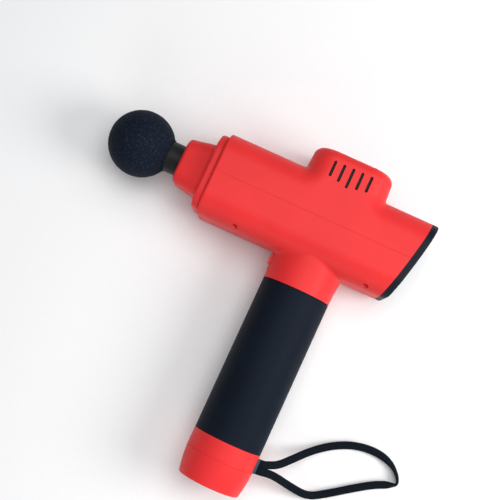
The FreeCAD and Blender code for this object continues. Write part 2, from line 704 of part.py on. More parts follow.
def drive_frame():
    """Bearing block, motor plate and bearing tube in one casting."""
    carrier = x_rod(BLOCK_RADIUS, (BLOCK_FRONT_X, BLOCK_REAR_X))
    plate_y = (PLATE_BOTTOM_Y, PLATE_TOP_Y)
    spine = block((BLOCK_REAR_X - 6, 0), plate_y, (-13, 13))
    disc = y_rod(BELL_RADIUS, plate_y)
    ear_half = frame_places()[1][1] + 4.5
    ears = [block((x - 4.5, x + 4.5), plate_y, (-ear_half, ear_half)) for x in (-44.0, 20.0)]
    boss = y_rod(STATOR_BOSS_RADIUS, (PLATE_BOTTOM_Y, BOSS_TOP_Y))
    shape = joined([carrier, spine, disc, boss] + ears)
    low_seat = (PLATE_BOTTOM_Y - 1, PLATE_BOTTOM_Y + 0.2 + BEARING_WIDTH)
    high_seat = (BOSS_TOP_Y - BEARING_WIDTH, BOSS_TOP_Y + 1)
    cuts = [
        x_rod(BUSH_OUTER, (BLOCK_FRONT_X - 1, BLOCK_REAR_X + 1)),
        y_rod(BEARING_RADIUS, low_seat),
        y_rod(BEARING_RADIUS, high_seat),
        y_rod(BEARING_RADIUS - 1.2, (PLATE_BOTTOM_Y, BOSS_TOP_Y)),
    ]
    cuts += [y_rod(1.5, (0, FAR), x, z) for x, z in frame_places()]
    for index in range(6):
        angle = math.radians(60 * index + 30)
        reach = (STATOR_BOSS_RADIUS + BELL_RADIUS) / 2
        cuts.append(y_rod(3.0, (0, FAR), reach * math.cos(angle), reach * math.sin(angle)))
    return shape.cut(cuts)


def frame_screws():
    screws = []
    for x, z in frame_places():
        head = y_rod(3.2, (PLATE_BOTTOM_Y - 1.6, PLATE_BOTTOM_Y), x, z)
        shank = y_rod(1.5, (PLATE_BOTTOM_Y, PLATE_TOP_Y + 7.0), x, z)
        screws.append(joined([head, shank]).cut(y_rod(1.4, (0, PLATE_BOTTOM_Y - 0.6), x, z)))
    return group(screws)


def frame_dampers():
    return group([y_tube(3.6, 1.5, (PLATE_TOP_Y, PLATE_TOP_Y + 3.0), x, z) for x, z in frame_places()])


def motor_bearings():
    low = (PLATE_BOTTOM_Y + 0.2, PLATE_BOTTOM_Y + 0.2 + BEARING_WIDTH)
    high = (BOSS_TOP_Y - BEARING_WIDTH, BOSS_TOP_Y)
    bore = SHAFT_RADIUS + RUNNING_FIT
    return group([ball_bearing(bore, BEARING_RADIUS, y, 8) for y in (low, high)])


def stator_tooth(index):
    """One tooth: its web, without the pole shoe."""
    y = (STATOR_LOW_Y, STATOR_HIGH_Y)
    web = block((STATOR_BOSS_RADIUS + 0.5, STATOR_RADIUS - 0.6), y, (-TOOTH_WIDTH / 2, TOOTH_WIDTH / 2))
    return turned(web, 360.0 / STATOR_TEETH * index)


def stator_core():
    y = (STATOR_LOW_Y, STATOR_HIGH_Y)
    hub = y_tube(STATOR_BOSS_RADIUS + 2.4, STATOR_BOSS_RADIUS, y)
    rim = y_tube(STATOR_RADIUS, STATOR_RADIUS - SHOE_THICKNESS, y)
    gaps = []
    for index in range(STATOR_TEETH):
        gap = block((STATOR_RADIUS - SHOE_THICKNESS - 1, STATOR_RADIUS + 1), y, (-1.2, 1.2))
        gaps.append(turned(gap, 360.0 / STATOR_TEETH * (index + 0.5)))
    teeth = [stator_tooth(index) for index in range(STATOR_TEETH)]
    return joined([hub, rim.cut(gaps)] + teeth)


def stator_windings():
    """A rounded coil round each tooth."""
    half = TOOTH_WIDTH / 2 + COIL_THICKNESS
    y = (STATOR_LOW_Y - COIL_THICKNESS, STATOR_HIGH_Y + 0.8)
    x = (STATOR_BOSS_RADIUS + 2.9, STATOR_RADIUS - SHOE_THICKNESS - 0.3)
    inner_limit = x[0] * math.tan(math.pi / STATOR_TEETH) - 0.15
    coils = []
    for index in range(STATOR_TEETH):
        coil = block(x, y, (-half, half))
        coil = coil.makeFillet(1.2, edges_where(coil, lambda p: abs(abs(p.z) - half) < 0.01))
        wedge = Part.Face(Part.makePolygon([
            V(x[0], y[0], -inner_limit), V(x[0], y[0], inner_limit),
            V(x[1], y[0], x[1] * math.tan(math.pi / STATOR_TEETH) - 0.15),
            V(x[1], y[0], 0.15 - x[1] * math.tan(math.pi / STATOR_TEETH)),
            V(x[0], y[0], -inner_limit),
        ])).extrude(V(0, y[1] - y[0], 0))
        coil = turned(coil.common(wedge), 360.0 / STATOR_TEETH * index)
        coils.append(coil.cut(stator_tooth(index)))
    return group(coils)


def rotor_bell():
    shell = y_rod(BELL_RADIUS, (BELL_BOTTOM_Y, BELL_TOP_Y))
    shell = shell.makeFillet(1.2, edges_where(shell, lambda p: p.y > BELL_TOP_Y - 0.01))
    shell = shell.cut(y_rod(BELL_INNER, (BELL_BOTTOM_Y - 1, BELL_ROOF_Y)))
    hub = y_rod(5.0, (BOSS_TOP_Y + 0.8, BELL_ROOF_Y + 0.5))
    slots = []
    for index in range(6):
        slot = block((8.5, 16.5), (BELL_ROOF_Y - 1, BELL_TOP_Y + 1), (-1.8, 1.8))
        slots.append(turned(slot, 60.0 * index))
    return joined([shell, hub]).cut(slots + [y_rod(SHAFT_RADIUS, (0, FAR))])


def rotor_magnets():
    y = (BELL_BOTTOM_Y + 1.0, BELL_ROOF_Y - 1.0)
    ring = y_tube(BELL_INNER, MAGNET_INNER, y)
    gaps = []
    for index in range(MAGNET_COUNT):
        gap = block((MAGNET_INNER - 1, BELL_INNER + 1), (y[0] - 1, y[1] + 1), (-0.5, 0.5))
        gaps.append(turned(gap, 360.0 / MAGNET_COUNT * index))
    return ring.cut(gaps)


def motor_shaft():
    return y_rod(SHAFT_RADIUS, (CRANK_BOTTOM_Y + 0.3, FAN_TOP_Y))


def cooling_fan():
    """Flat disc with upright blades on the motor shaft, under the hump's roof."""
    disc = y_rod(FAN_RADIUS, (FAN_BOTTOM_Y, FAN_BOTTOM_Y + 1.0))
    hub = y_rod(5.0, (FAN_BOTTOM_Y, FAN_TOP_Y - 1.0))
    blades = []
    for index in range(FAN_BLADES):
        blade = block((8.0, FAN_RADIUS - 0.5), (FAN_BOTTOM_Y + 0.5, FAN_TOP_Y), (-0.6, 0.6))
        blade = turned(blade, 25.0, centre=V(8.0, 0, 0))
        blade = blade.common(y_rod(FAN_RADIUS, (FAN_BOTTOM_Y, FAN_TOP_Y)))
        blades.append(turned(blade, 360.0 / FAN_BLADES * index))
    return joined([disc, hub] + blades).cut(y_rod(SHAFT_RADIUS, (0, FAR)))


def crank_disc():
    """Crank with a half-round counterweight opposite the pin."""
    disc = y_rod(CRANK_RADIUS, (CRANK_BOTTOM_Y, CRANK_TOP_Y))
    weight = y_rod(CRANK_RADIUS, (CRANK_TOP_Y, CRANK_TOP_Y + COUNTERWEIGHT_THICKNESS))
    weight = weight.common(block((-FAR, FAR), (0, FAR), (-FAR, -3.0)))
    hub = y_rod(6.0, (CRANK_TOP_Y, CRANK_TOP_Y + COUNTERWEIGHT_THICKNESS))
    set_hole = x_rod(1.5, (0, FAR), y=(CRANK_BOTTOM_Y + CRANK_TOP_Y) / 2)
    return joined([disc, weight, hub]).cut([y_rod(SHAFT_RADIUS, (0, FAR)), set_hole])


def crank_set_screw():
    middle = (CRANK_BOTTOM_Y + CRANK_TOP_Y) / 2
    screw = x_rod(1.5, (0, 11.0), y=middle).cut(y_rod(SHAFT_RADIUS, (0, FAR)))
    return screw.cut(x_rod(0.8, (9.5, FAR), y=middle))


def on_rod(shape):
    """Place a shape drawn along +X from the wrist pin onto the slanted rod."""
    slant = math.degrees(math.asin(THROW / ROD_LENGTH))
    copy = turned(shape, -slant)
    copy.translate(V(WRIST_X, 0, 0))
    return copy


def connecting_rod():
    y = (ROD_BOTTOM_Y, ROD_TOP_Y)
    big_radius = CRANK_BEARING_RADIUS + BIG_END_WALL
    web = block((0, ROD_LENGTH), (ROD_BOTTOM_Y + 1.3, ROD_TOP_Y - 1.3), (-5.5, 5.5))
    rails = [
        block((0, ROD_LENGTH), y, (side - 1.0, side + 1.0)) for side in (-4.5, 4.5)
    ]
    shape = joined([y_rod(EAR_RADIUS, y), y_rod(big_radius, y, ROD_LENGTH), web] + rails)
    bores = [
        y_rod(WRIST_PIN_RADIUS + RUNNING_FIT + WRIST_BUSH_WALL, (-FAR, FAR)),
        y_rod(CRANK_BEARING_RADIUS, (-FAR, FAR), ROD_LENGTH),
    ]
    return on_rod(shape.cut(bores))


def wrist_bush():
    inner = WRIST_PIN_RADIUS + RUNNING_FIT
    return on_rod(y_tube(inner + WRIST_BUSH_WALL, inner, (ROD_BOTTOM_Y, ROD_TOP_Y)))


def crank_bearing():
    middle = (ROD_BOTTOM_Y + ROD_TOP_Y) / 2
    y = (middle - CRANK_BEARING_WIDTH / 2, middle + CRANK_BEARING_WIDTH / 2)
    return ball_bearing(CRANK_PIN_RADIUS, CRANK_BEARING_RADIUS, y, 9, z=THROW)


def crank_pin():
    """Pin with a head below the bearing and a shoulder above it."""
    middle = (ROD_BOTTOM_Y + ROD_TOP_Y) / 2
    low = middle - CRANK_BEARING_WIDTH / 2
    high = middle + CRANK_BEARING_WIDTH / 2
    shank = y_rod(CRANK_PIN_RADIUS, (low, PIN_TOP_Y), z=THROW)
    head = y_rod(CRANK_PIN_RADIUS + 1.2, (low - 1.2, low), z=THROW)
    shoulder = y_rod(CRANK_PIN_RADIUS + 0.9, (high, high + 0.6), z=THROW)
    return joined([shank, head, shoulder])


def ear_spans():
    upper = (ROD_TOP_Y + ROD_GAP, ROD_TOP_Y + ROD_GAP + EAR_THICKNESS)
    lower = (ROD_BOTTOM_Y - ROD_GAP - EAR_THICKNESS, ROD_BOTTOM_Y - ROD_GAP)
    return lower, upper


def plunger():
    """Round slider with a blind socket in front and a clevis behind."""
    body = x_rod(PLUNGER_RADIUS, (PLUNGER_FRONT_X, PLUNGER_REAR_X))
    ears = []
    for span in ear_spans():
        ears.append(block((PLUNGER_REAR_X - 2, WRIST_X), span, (-EAR_RADIUS, EAR_RADIUS)))
        ears.append(y_rod(EAR_RADIUS, span, WRIST_X))
    socket_radius = STUB_RADIUS + 0.08
    socket = x_rod(socket_radius, (PLUNGER_FRONT_X - 1, PLUNGER_FRONT_X + SOCKET_DEPTH))
    mouth = Part.makeCone(socket_radius + 1.0, socket_radius, 1.0, V(PLUNGER_FRONT_X, 0, 0), X_AXIS)
    pin_hole = y_rod(WRIST_PIN_RADIUS, (-FAR, FAR), WRIST_X)
    return joined([body] + ears).cut([socket, mouth, pin_hole])


def wrist_pin():
    lower, upper = ear_spans()
    return y_rod(WRIST_PIN_RADIUS, (lower[0], upper[1]), WRIST_X)


def ball():
    return Part.makeSphere(BALL_RADIUS, V(BALL_X, 0, 0))


def head_core():
    """Neck, inner spigot and stub of the attachment, turned as one piece."""
    neck = x_rod(NECK_RADIUS, (BALL_X, NECK_END_X))
    neck = neck.makeFillet(0.8, edges_where(neck, lambda p: abs(p.x - NECK_END_X) < 0.01))
    spigot = x_rod(CORE_RADIUS, (BALL_X - CORE_DEPTH, NECK_END_X - 2))
    stub_end = NECK_END_X + STUB_LENGTH
    stub = x_rod(STUB_RADIUS, (NECK_END_X - 1, stub_end))
    stub = stub.makeChamfer(1.2, edges_where(stub, lambda p: abs(p.x - stub_end) < 0.01))
    middle = NECK_END_X + STUB_LENGTH / 2
    groove = x_tube(STUB_RADIUS + 1, STUB_RADIUS - 2 * O_RING_RADIUS, (middle - 1.1, middle + 1.1))
    return joined([neck.cut(ball()), spigot, stub]).cut(groove)


def stub_o_ring():
    middle = NECK_END_X + STUB_LENGTH / 2
    major = STUB_RADIUS + 0.03 - O_RING_RADIUS
    return Part.makeTorus(major, O_RING_RADIUS, V(middle, 0, 0), X_AXIS)


def ball_foam():
    return ball().cut(x_rod(CORE_RADIUS, (BALL_X - CORE_DEPTH, NECK_END_X)))


def socket_span():
    low = leaf_seat_top() + 0.8
    return low, low + 2.0


def contact_blades(y, half):
    return [block((x - half, x + half), y, (-2.5, 2.5)) for x in (-6.0, 0.0, 6.0)]


def battery_socket():
    """Plate above the handle's top that carries the contact blades."""
    low, high = socket_span()
    half = COLLAR_INNER + 3.5
    plate = block((-half, half), (low, high), (-BARREL_WIDTH / 2 + 7.5, BARREL_WIDTH / 2 - 7.5))
    feet = [
        y_rod(1.6, (FLOOR_Y, low), x * (half - 1.7), z) for x in (-1, 1) for z in (-9.0, 9.0)
    ]
    return joined([plate] + feet).cut(contact_blades((low - 1, high + 1), 0.5))


def socket_contacts():
    low, high = socket_span()
    return group(contact_blades((TUBE_TOP_Y + 0.4, high + 2.0), 0.5))


def driver_board():
    """Motor driver on posts in front of the handle."""
    low = FLOOR_Y + 4.0
    board = block((-64.0, -32.0), (low, low + BOARD_THICKNESS), (-15, 15))
    top = low + BOARD_THICKNESS
    chips = [block((x, x + 5), (top, top + 1.2), (-9, -3)) for x in (-60.0, -52.0, -44.0)]
    coil = y_rod(4.0, (top, top + 2.5), -52.0, 6.0)
    feet = [y_rod(1.6, (FLOOR_Y, low), x, z) for x in (-61.0, -35.0) for z in (-12.0, 12.0)]
    return joined([board, coil] + chips + feet)


def release_button():
    """Sprung tab in the collar, kept in by a flange behind the wall."""
    collar_radius = HANDLE_RADIUS + COLLAR_FLARE * (RELEASE_MID_Y - COLLAR_END_Y) / COLLAR_DROP
    tab = release_window(0.0).common(y_rod(collar_radius + RELEASE_PROUD, (-FAR, FAR)))
    tab = tab.common(block((-FAR, FLANGE_IN_X), (-FAR, FAR), (-FAR, FAR)))
    y = (RELEASE_LOW_Y - RELEASE_FLANGE_LIP, RELEASE_TOP_Y + RELEASE_FLANGE_LIP)
    flange = block((FLANGE_OUT_X, FLANGE_IN_X), y, (-FLANGE_HALF, FLANGE_HALF))
    return joined([tab, flange])


def release_spring():
    """Leaf spring that pushes the button outwards."""
    half = LEAF_WIDTH / 2
    return block((LEAF_FRONT_X, LEAF_FRONT_X + LEAF_THICKNESS), (RELEASE_LOW_Y, leaf_seat_top()), (-half, half))


def flute_cut():
    """Flute in the battery's top that clears the release button as the battery slides."""
    return block((-FAR, FLUTE_X), (FLUTE_END_Y, FAR), (-FLUTE_HALF, FLUTE_HALF))


def flute_wall():
    half = FLUTE_HALF + TUBE_WALL
    return block((-TUBE_RADIUS, FLUTE_X + TUBE_WALL), (FLUTE_END_Y - TUBE_WALL, TUBE_TOP_Y), (-half, half))


def battery_tube():
    span = (BASE_TOP_Y, TUBE_TOP_Y)
    wall = flute_wall().common(y_rod(TUBE_RADIUS, span))
    return joined([y_tube(TUBE_RADIUS, TUBE_INNER, span), wall]).cut(flute_cut())


def battery_top_cap():
    span = (TUBE_TOP_Y - TOP_CAP_THICKNESS, TUBE_TOP_Y)
    cap = y_rod(TUBE_INNER, span).cut([flute_wall()] + contact_pads())
    return cap


def contact_pads():
    y = (TUBE_TOP_Y - 1.0, TUBE_TOP_Y)
    return [block((x - 2.0, x + 2.0), y, (-4.0, 4.0)) for x in (-6.0, 0.0, 6.0)]


def grip_sleeve():
    sleeve = y_tube(HANDLE_RADIUS, TUBE_RADIUS, (BAND_TOP_Y, SLEEVE_TOP_Y))
    top = edges_where(
        sleeve, lambda p: p.y > SLEEVE_TOP_Y - 0.01 and math.hypot(p.x, p.z) > TUBE_RADIUS + 1
    )
    return sleeve.makeFillet(0.5, top)


def base_band():
    """Ring that closes the sleeve, with a fine bevel at the seam to the base."""
    band = y_tube(BAND_RADIUS, TUBE_RADIUS, (BASE_TOP_Y, BAND_TOP_Y))
    rim = edges_where(
        band, lambda p: p.y < BASE_TOP_Y + 0.01 and math.hypot(p.x, p.z) > TUBE_RADIUS + 1
    )
    return band.makeChamfer(SEAM_BEVEL, rim)


def base_cap():
    """Turned cup with a curved taper, a flat standing rim and a recessed floor."""
    mid_y = BASE_TOP_Y - BASE_LENGTH / 2
    low_y = BASE_END_Y + BASE_BEVEL
    low_radius = BAND_RADIUS - BASE_END_INSET
    top_radius = BAND_RADIUS - SEAM_BEVEL
    start = V(BAND_RADIUS, BASE_TOP_Y - SEAM_BEVEL, 0)
    end = V(low_radius, low_y, 0)
    side = Part.Arc(start, V(BAND_RADIUS - BASE_MID_INSET, mid_y, 0), end).toShape()
    corner = [
        end,
        V(low_radius - BASE_BEVEL * 0.3, BASE_END_Y + BASE_BEVEL * 0.3, 0),
        V(low_radius - BASE_BEVEL, BASE_END_Y, 0),
        V(BAND_RADIUS - BASE_POCKET_INSET, BASE_END_Y, 0),
        V(BAND_RADIUS - BASE_POCKET_INSET, POCKET_Y, 0),
        V(0, POCKET_Y, 0),
        V(0, BASE_FLOOR_Y, 0),
        V(BASE_INNER, BASE_FLOOR_Y, 0),
        V(BASE_INNER, BASE_TOP_Y, 0),
        V(top_radius, BASE_TOP_Y, 0),
        start,
    ]
    edges = [side] + [Part.LineSegment(a, b).toShape() for a, b in zip(corner, corner[1:])]
    cup = Part.Face(Part.Wire(edges)).revolve(V(0, 0, 0), Y_AXIS, 360)
    cup = Part.Solid(cup.Shells[0]) if cup.ShapeType != "Solid" else cup
    floor = (POCKET_Y - 1, BASE_FLOOR_Y + 1)
    half_x = SWITCH_LENGTH / 2
    half_z = SWITCH_WIDTH / 2
    cuts = [
        y_rod(JACK_RADIUS, floor, JACK_X),
        block((SWITCH_X - half_x, SWITCH_X + half_x), floor, (-half_z, half_z)),
    ]
    for z in (-BASE_SCREW_Z, BASE_SCREW_Z):
        cuts.append(y_rod(SCREW_HEAD_RADIUS, (POCKET_Y - 1, POCKET_Y + SCREW_HEAD_HEIGHT), z=z))
        cuts.append(y_rod(SCREW_SHANK_RADIUS, floor, z=z))
    return cup.cut(cuts)


def base_bulkhead():
    """Cross wall with two posts that the base screws bite into."""
    span = (BASE_TOP_Y - BULKHEAD_THICKNESS, BASE_TOP_Y)
    disc = y_rod(TUBE_INNER, span).cut(y_rod(6.0, span))
    posts = [
        y_rod(BASE_POST_RADIUS, (BASE_FLOOR_Y, span[1]), z=z) for z in (-BASE_SCREW_Z, BASE_SCREW_Z)
    ]
    screws = [
        y_rod(SCREW_SHANK_RADIUS, (BASE_FLOOR_Y, BASE_FLOOR_Y + SCREW_BITE), z=z)
        for z in (-BASE_SCREW_Z, BASE_SCREW_Z)
    ]
    return joined([disc] + posts).cut(screws)


def base_screws():
    screws = []
    for z in (-BASE_SCREW_Z, BASE_SCREW_Z):
        head = y_rod(SCREW_HEAD_RADIUS, (POCKET_Y, POCKET_Y + SCREW_HEAD_HEIGHT), z=z)
        shank = y_rod(SCREW_SHANK_RADIUS, (POCKET_Y + 0.5, BASE_FLOOR_Y + SCREW_BITE), z=z)
        socket = y_rod(SCREW_HEAD_RADIUS * 0.5, (POCKET_Y - 1, POCKET_Y + 1.0), z=z)
        screws.append(joined([head, shank]).cut(socket))
    return group(screws)


def charge_jack():
    """Round low-voltage socket with a centre pin, flush with the recessed floor."""
    body = y_rod(JACK_RADIUS, (POCKET_Y, POCKET_Y + JACK_BODY_LENGTH), JACK_X)
    bore = y_rod(JACK_BORE_RADIUS, (POCKET_Y - 1, POCKET_Y + JACK_DEPTH), JACK_X)
    pin = y_rod(JACK_PIN_RADIUS, (POCKET_Y + 1.0, POCKET_Y + JACK_DEPTH + 1), JACK_X)
    return joined([body.cut(bore), pin])


def switch_frame():
    half_x = SWITCH_LENGTH / 2
    half_z = SWITCH_WIDTH / 2
    x = (SWITCH_X - half_x, SWITCH_X + half_x)
    body = block(x, (POCKET_Y, POCKET_Y + SWITCH_BODY_DEPTH), (-half_z, half_z))
    rim = block(
        (x[0] - 0.8, x[1] + 0.8), (POCKET_Y - SWITCH_RIM, POCKET_Y), (-half_z - 0.8, half_z + 0.8)
    )
    well = block(
        (x[0] + SWITCH_WALL, x[1] - SWITCH_WALL),
        (POCKET_Y - 2, POCKET_Y + 7.5),
        (-half_z + SWITCH_WALL, half_z - SWITCH_WALL),
    )
    pivot_y = POCKET_Y + ROCKER_PIVOT_DEPTH
    pin_half = half_z - SWITCH_WALL + 0.8
    pin = z_rod(ROCKER_PIN_RADIUS + RUNNING_FIT, (-pin_half - 0.1, pin_half + 0.1), SWITCH_X, pivot_y)
    return joined([body, rim]).cut([well, pin])


def power_rocker():
    """Two-lobed rocker on a cross pin, resting on its off side."""
    half_x = SWITCH_LENGTH / 2 - SWITCH_WALL - ROCKER_GAP
    half_z = SWITCH_WIDTH / 2 - SWITCH_WALL - ROCKER_GAP
    pivot_y = POCKET_Y + ROCKER_PIVOT_DEPTH
    lobe = ROCKER_PIVOT_DEPTH + SWITCH_RIM - 0.2
    points = [(-half_x, -lobe), (0, 1.0 - lobe), (half_x, -lobe), (half_x, 2.6), (-half_x, 2.6)]
    corners = [V(SWITCH_X + x, pivot_y + y, -half_z) for x, y in points]
    body = Part.Face(Part.makePolygon(corners + corners[:1])).extrude(V(0, 0, 2 * half_z))
    body = body.common(z_rod(half_x + 0.15, (-half_z, half_z), SWITCH_X, pivot_y))
    pin_half = SWITCH_WIDTH / 2 - SWITCH_WALL + 0.8
    pin = z_rod(ROCKER_PIN_RADIUS, (-pin_half, pin_half), SWITCH_X, pivot_y)
    return turned(joined([body, pin]), -ROCKER_TILT, Z_AXIS, V(SWITCH_X, pivot_y, 0))


def tier_tops():
    return CELL_TOP_Y, CELL_TOP_Y - CELL_LENGTH - TIER_GAP


def cell_centres():
    return [
        (CELL_RING * math.cos(math.radians(a)), CELL_RING * math.sin(math.radians(a)))
        for a in CELL_ANGLES
    ]


def battery_cells():
    """Six round cells in two tiers of three, each with its raised contact."""
    cells = []
    for top in tier_tops():
        for x, z in cell_centres():
            cell = y_rod(CELL_RADIUS, (top - CELL_LENGTH, top - 0.4), x, z)
            cells.append(joined([cell, y_rod(3.5, (top - 0.5, top), x, z)]))
    return group(cells)


def cell_spacers():
    """Thin holders round both ends of each tier."""
    holders = []
    holes = [y_rod(CELL_RADIUS, (-FAR, FAR), x, z) for x, z in cell_centres()]
    for top in tier_tops():
        for high in (top - 1.0, top - CELL_LENGTH + 1.0 + SPACER_THICKNESS):
            disc = y_rod(TUBE_INNER - 0.1, (high - SPACER_THICKNESS, high))
            holders.append(disc.cut(holes + [flute_wall()]))
    return group(holders)


def nickel_strips():
    """Flat links across the ends of the cells."""
    levels = (
        CELL_TOP_Y,
        CELL_TOP_Y - CELL_LENGTH - (TIER_GAP + STRIP_THICKNESS) / 2,
        CELL_END_Y - STRIP_THICKNESS,
    )
    strips = []
    for low in levels:
        y = (low, low + STRIP_THICKNESS)
        pads = [y_rod(4.0, y, x, z) for x, z in cell_centres()]
        arms = [
            turned(block((0, CELL_RING), y, (-2.0, 2.0)), -angle) for angle in CELL_ANGLES
        ]
        strips.append(joined(pads + arms))
    return group(strips)


def protection_board():
    top = CELL_END_Y - STRIP_THICKNESS - BOARD_GAP
    board = y_rod(TUBE_INNER - 0.3, (top - BOARD_THICKNESS, top))
    low = top - BOARD_THICKNESS
    chips = [block((x, x + 4.5), (low - 1.4, low), (-3, 3)) for x in (-12.0, -3.0, 6.0)]
    return joined([board] + chips)


def strap_anchor():
    """Small block on the band that both ends of the wrist strap enter."""
    y = (ANCHOR_Y - ANCHOR_HEIGHT / 2, ANCHOR_Y + ANCHOR_HEIGHT / 2)
    half = ANCHOR_WIDTH / 2
    pad = block((BAND_RADIUS - 2.0, BAND_RADIUS + ANCHOR_PROUD), y, (-half, half))
    pad = pad.makeFillet(0.5, edges_where(pad, lambda p: abs(p.x - BAND_RADIUS - ANCHOR_PROUD) < 0.01))
    return pad.cut(y_rod(BAND_RADIUS, (-FAR, 0)))


def strap_tube():
    """Plain round tube along the strap's route: straight runs joined by tangent arcs."""
    points = [V(x, y, z - HALF_WIDTH) for x, y, z in STRAP_ROUTE]
    edges = []
    radii = []
    start = points[0]
    for before, corner, after in zip(points, points[1:], points[2:]):
        arrive = (corner - before).normalize()
        leave = (after - corner).normalize()
        half_turn = arrive.getAngle(leave) / 2
        setback = STRAP_ARC_SHARE * min((corner - before).Length, (after - corner).Length)
        radius = setback / math.tan(half_turn)
        radii.append(radius)
        enter = corner - arrive * setback
        leave_at = corner + leave * setback
        towards = (leave - arrive).normalize()
        middle = corner + towards * (radius / math.cos(half_turn) - radius)
        edges.append(Part.LineSegment(start, enter).toShape())
        edges.append(Part.Arc(enter, middle, leave_at).toShape())
        start = leave_at
    edges.append(Part.LineSegment(start, points[-1]).toShape())
    path = Part.Wire(edges)
    circle = Part.Circle(points[0], points[1] - points[0], STRAP_WIDTH / 2)
    section = Part.Wire([circle.toShape()])
    tube = path.makePipeShell([section], True, False)
    expected = path.Length * math.pi * STRAP_WIDTH ** 2 / 4
    print("strap centreline", round(path.Length, 1), "mm")
    print("strap radii", [round(radius, 1) for radius in radii])
    print("strap volume / section x length", round(tube.Volume / expected, 4))
    return tube


def build():
    lower, upper = housing_halves()
    return {
        "lower_housing": lower,
        "upper_housing": upper,
        "vent_screens": vent_screens(),
        "front_ring": front_ring(),
        "nose_cone": nose_cone(),
        "nose_seal": nose_seal(),
        "rear_panel": rear_panel(),
        "indicator_lenses": group(lens_rods(LENS_SINK)),
        "power_button": power_button(),
        "control_board": control_board(),
        "driver_board": driver_board(),
        "housing_screws": housing_screws(),
        "drive_frame": drive_frame(),
        "frame_screws": frame_screws(),
        "frame_dampers": frame_dampers(),
        "plunger_bush": plunger_bush(),
        "motor_bearings": motor_bearings(),
        "stator_core": stator_core(),
        "stator_windings": stator_windings(),
        "rotor_bell": rotor_bell(),
        "rotor_magnets": rotor_magnets(),
        "motor_shaft": motor_shaft(),
        "cooling_fan": cooling_fan(),
        "crank_disc": crank_disc(),
        "crank_set_screw": crank_set_screw(),
        "connecting_rod": connecting_rod(),
        "wrist_bush": wrist_bush(),
        "crank_bearing": crank_bearing(),
        "crank_pin": crank_pin(),
        "plunger": plunger(),
        "wrist_pin": wrist_pin(),
        "ball_foam": ball_foam(),
        "head_core": head_core(),
        "stub_o_ring": stub_o_ring(),
        "battery_socket": battery_socket(),
        "socket_contacts": socket_contacts(),
        "release_button": release_button(),
        "release_spring": release_spring(),
        "battery_tube": battery_tube(),
        "battery_top_cap": battery_top_cap(),
        "battery_contacts": group(contact_pads()),
        "grip_sleeve": grip_sleeve(),
        "base_band": base_band(),
        "base_cap": base_cap(),
        "base_bulkhead": base_bulkhead(),
        "base_screws": base_screws(),
        "charge_jack": charge_jack(),
        "switch_frame": switch_frame(),
        "power_rocker": power_rocker(),
        "battery_cells": battery_cells(),
        "cell_spacers": cell_spacers(),
        "nickel_strips": nickel_strips(),
        "protection_board": protection_board(),
        "strap_anchor": strap_anchor(),
        "wrist_strap": strap_tube(),
    }


os.makedirs("parts", exist_ok=True)
for name, shape in build().items():
    shape.translate(V(0, 0, HALF_WIDTH))
    shape.exportStep("parts/" + name + ".step")
    box = shape.BoundBox
    print(
        f"{name}: {len(shape.Solids)} solid, valid {shape.isValid()}, volume {shape.Volume:.0f},"
        f" x {box.XMin:.1f}..{box.XMax:.1f} y {box.YMin:.1f}..{box.YMax:.1f} z {box.ZMin:.1f}..{box.ZMax:.1f}"
    )
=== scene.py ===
# %% [markdown]
# # A percussion massage gun, lying on its side
#
# The model that comes in is the working machine: housing halves, drive, motor, battery and their
# joints. This file gives it its looks. The moulded shells keep their shape and get real finishes,
# and the soft pieces (the foam ball and the braided strap) are built again as meshes that show what
# they are made of. The release leaf is built again too, as a block cut into many short pieces. The
# lip of the ball and the sign on the power button are new.

# %% Load the fixed frame
import json
import math

import bpy
import numpy as np
from mathutils import Matrix, Vector


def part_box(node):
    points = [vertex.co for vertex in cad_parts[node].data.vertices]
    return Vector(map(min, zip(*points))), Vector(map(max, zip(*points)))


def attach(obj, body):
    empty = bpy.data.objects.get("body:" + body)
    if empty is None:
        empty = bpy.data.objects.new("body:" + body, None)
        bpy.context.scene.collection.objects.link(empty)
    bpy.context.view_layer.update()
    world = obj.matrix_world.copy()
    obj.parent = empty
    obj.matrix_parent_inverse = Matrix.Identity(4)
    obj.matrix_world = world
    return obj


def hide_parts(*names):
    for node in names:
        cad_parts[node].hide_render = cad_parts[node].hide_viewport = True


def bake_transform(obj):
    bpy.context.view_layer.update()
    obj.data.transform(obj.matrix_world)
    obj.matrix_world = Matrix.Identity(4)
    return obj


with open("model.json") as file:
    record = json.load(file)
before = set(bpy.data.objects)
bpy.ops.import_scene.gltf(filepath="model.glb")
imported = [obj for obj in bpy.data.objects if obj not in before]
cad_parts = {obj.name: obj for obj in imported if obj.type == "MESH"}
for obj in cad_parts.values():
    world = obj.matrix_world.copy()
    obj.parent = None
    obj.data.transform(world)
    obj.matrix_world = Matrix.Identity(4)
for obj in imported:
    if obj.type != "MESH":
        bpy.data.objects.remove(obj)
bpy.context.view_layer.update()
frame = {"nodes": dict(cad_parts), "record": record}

# %% [markdown]
# ## Measures
#
# Sizes are easier to read in millimetres, and Blender works in metres, so one factor turns one into
# the other. Places come from the boxes of the incoming parts, so that a new piece sits where the
# machine says. The barrel runs along X and the handle along Y, and both axes lie half a barrel's
# width above the floor.

# %% Measures
MM = 0.001
barrel_low, barrel_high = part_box("lower_housing")
MID_Z = (barrel_low.z + barrel_high.z) / 2
print("barrel axis is", round(MID_Z / MM, 2), "mm above the floor")

# %% [markdown]
# ## Camera, floor and light
#
# A product picture of this kind is taken from nearly straight above, on white, with a long lens. The
# camera hangs over the top of the handle and leans a little towards the middle of the gun. One broad
# soft lamp stands on the tail side and gives the round parts their dark flank, a broader one overhead
# fills the flat side, a weak one beyond the base lifts the red end, and a pale sky keeps the shadows
# open. The floor is a plain matt sheet.

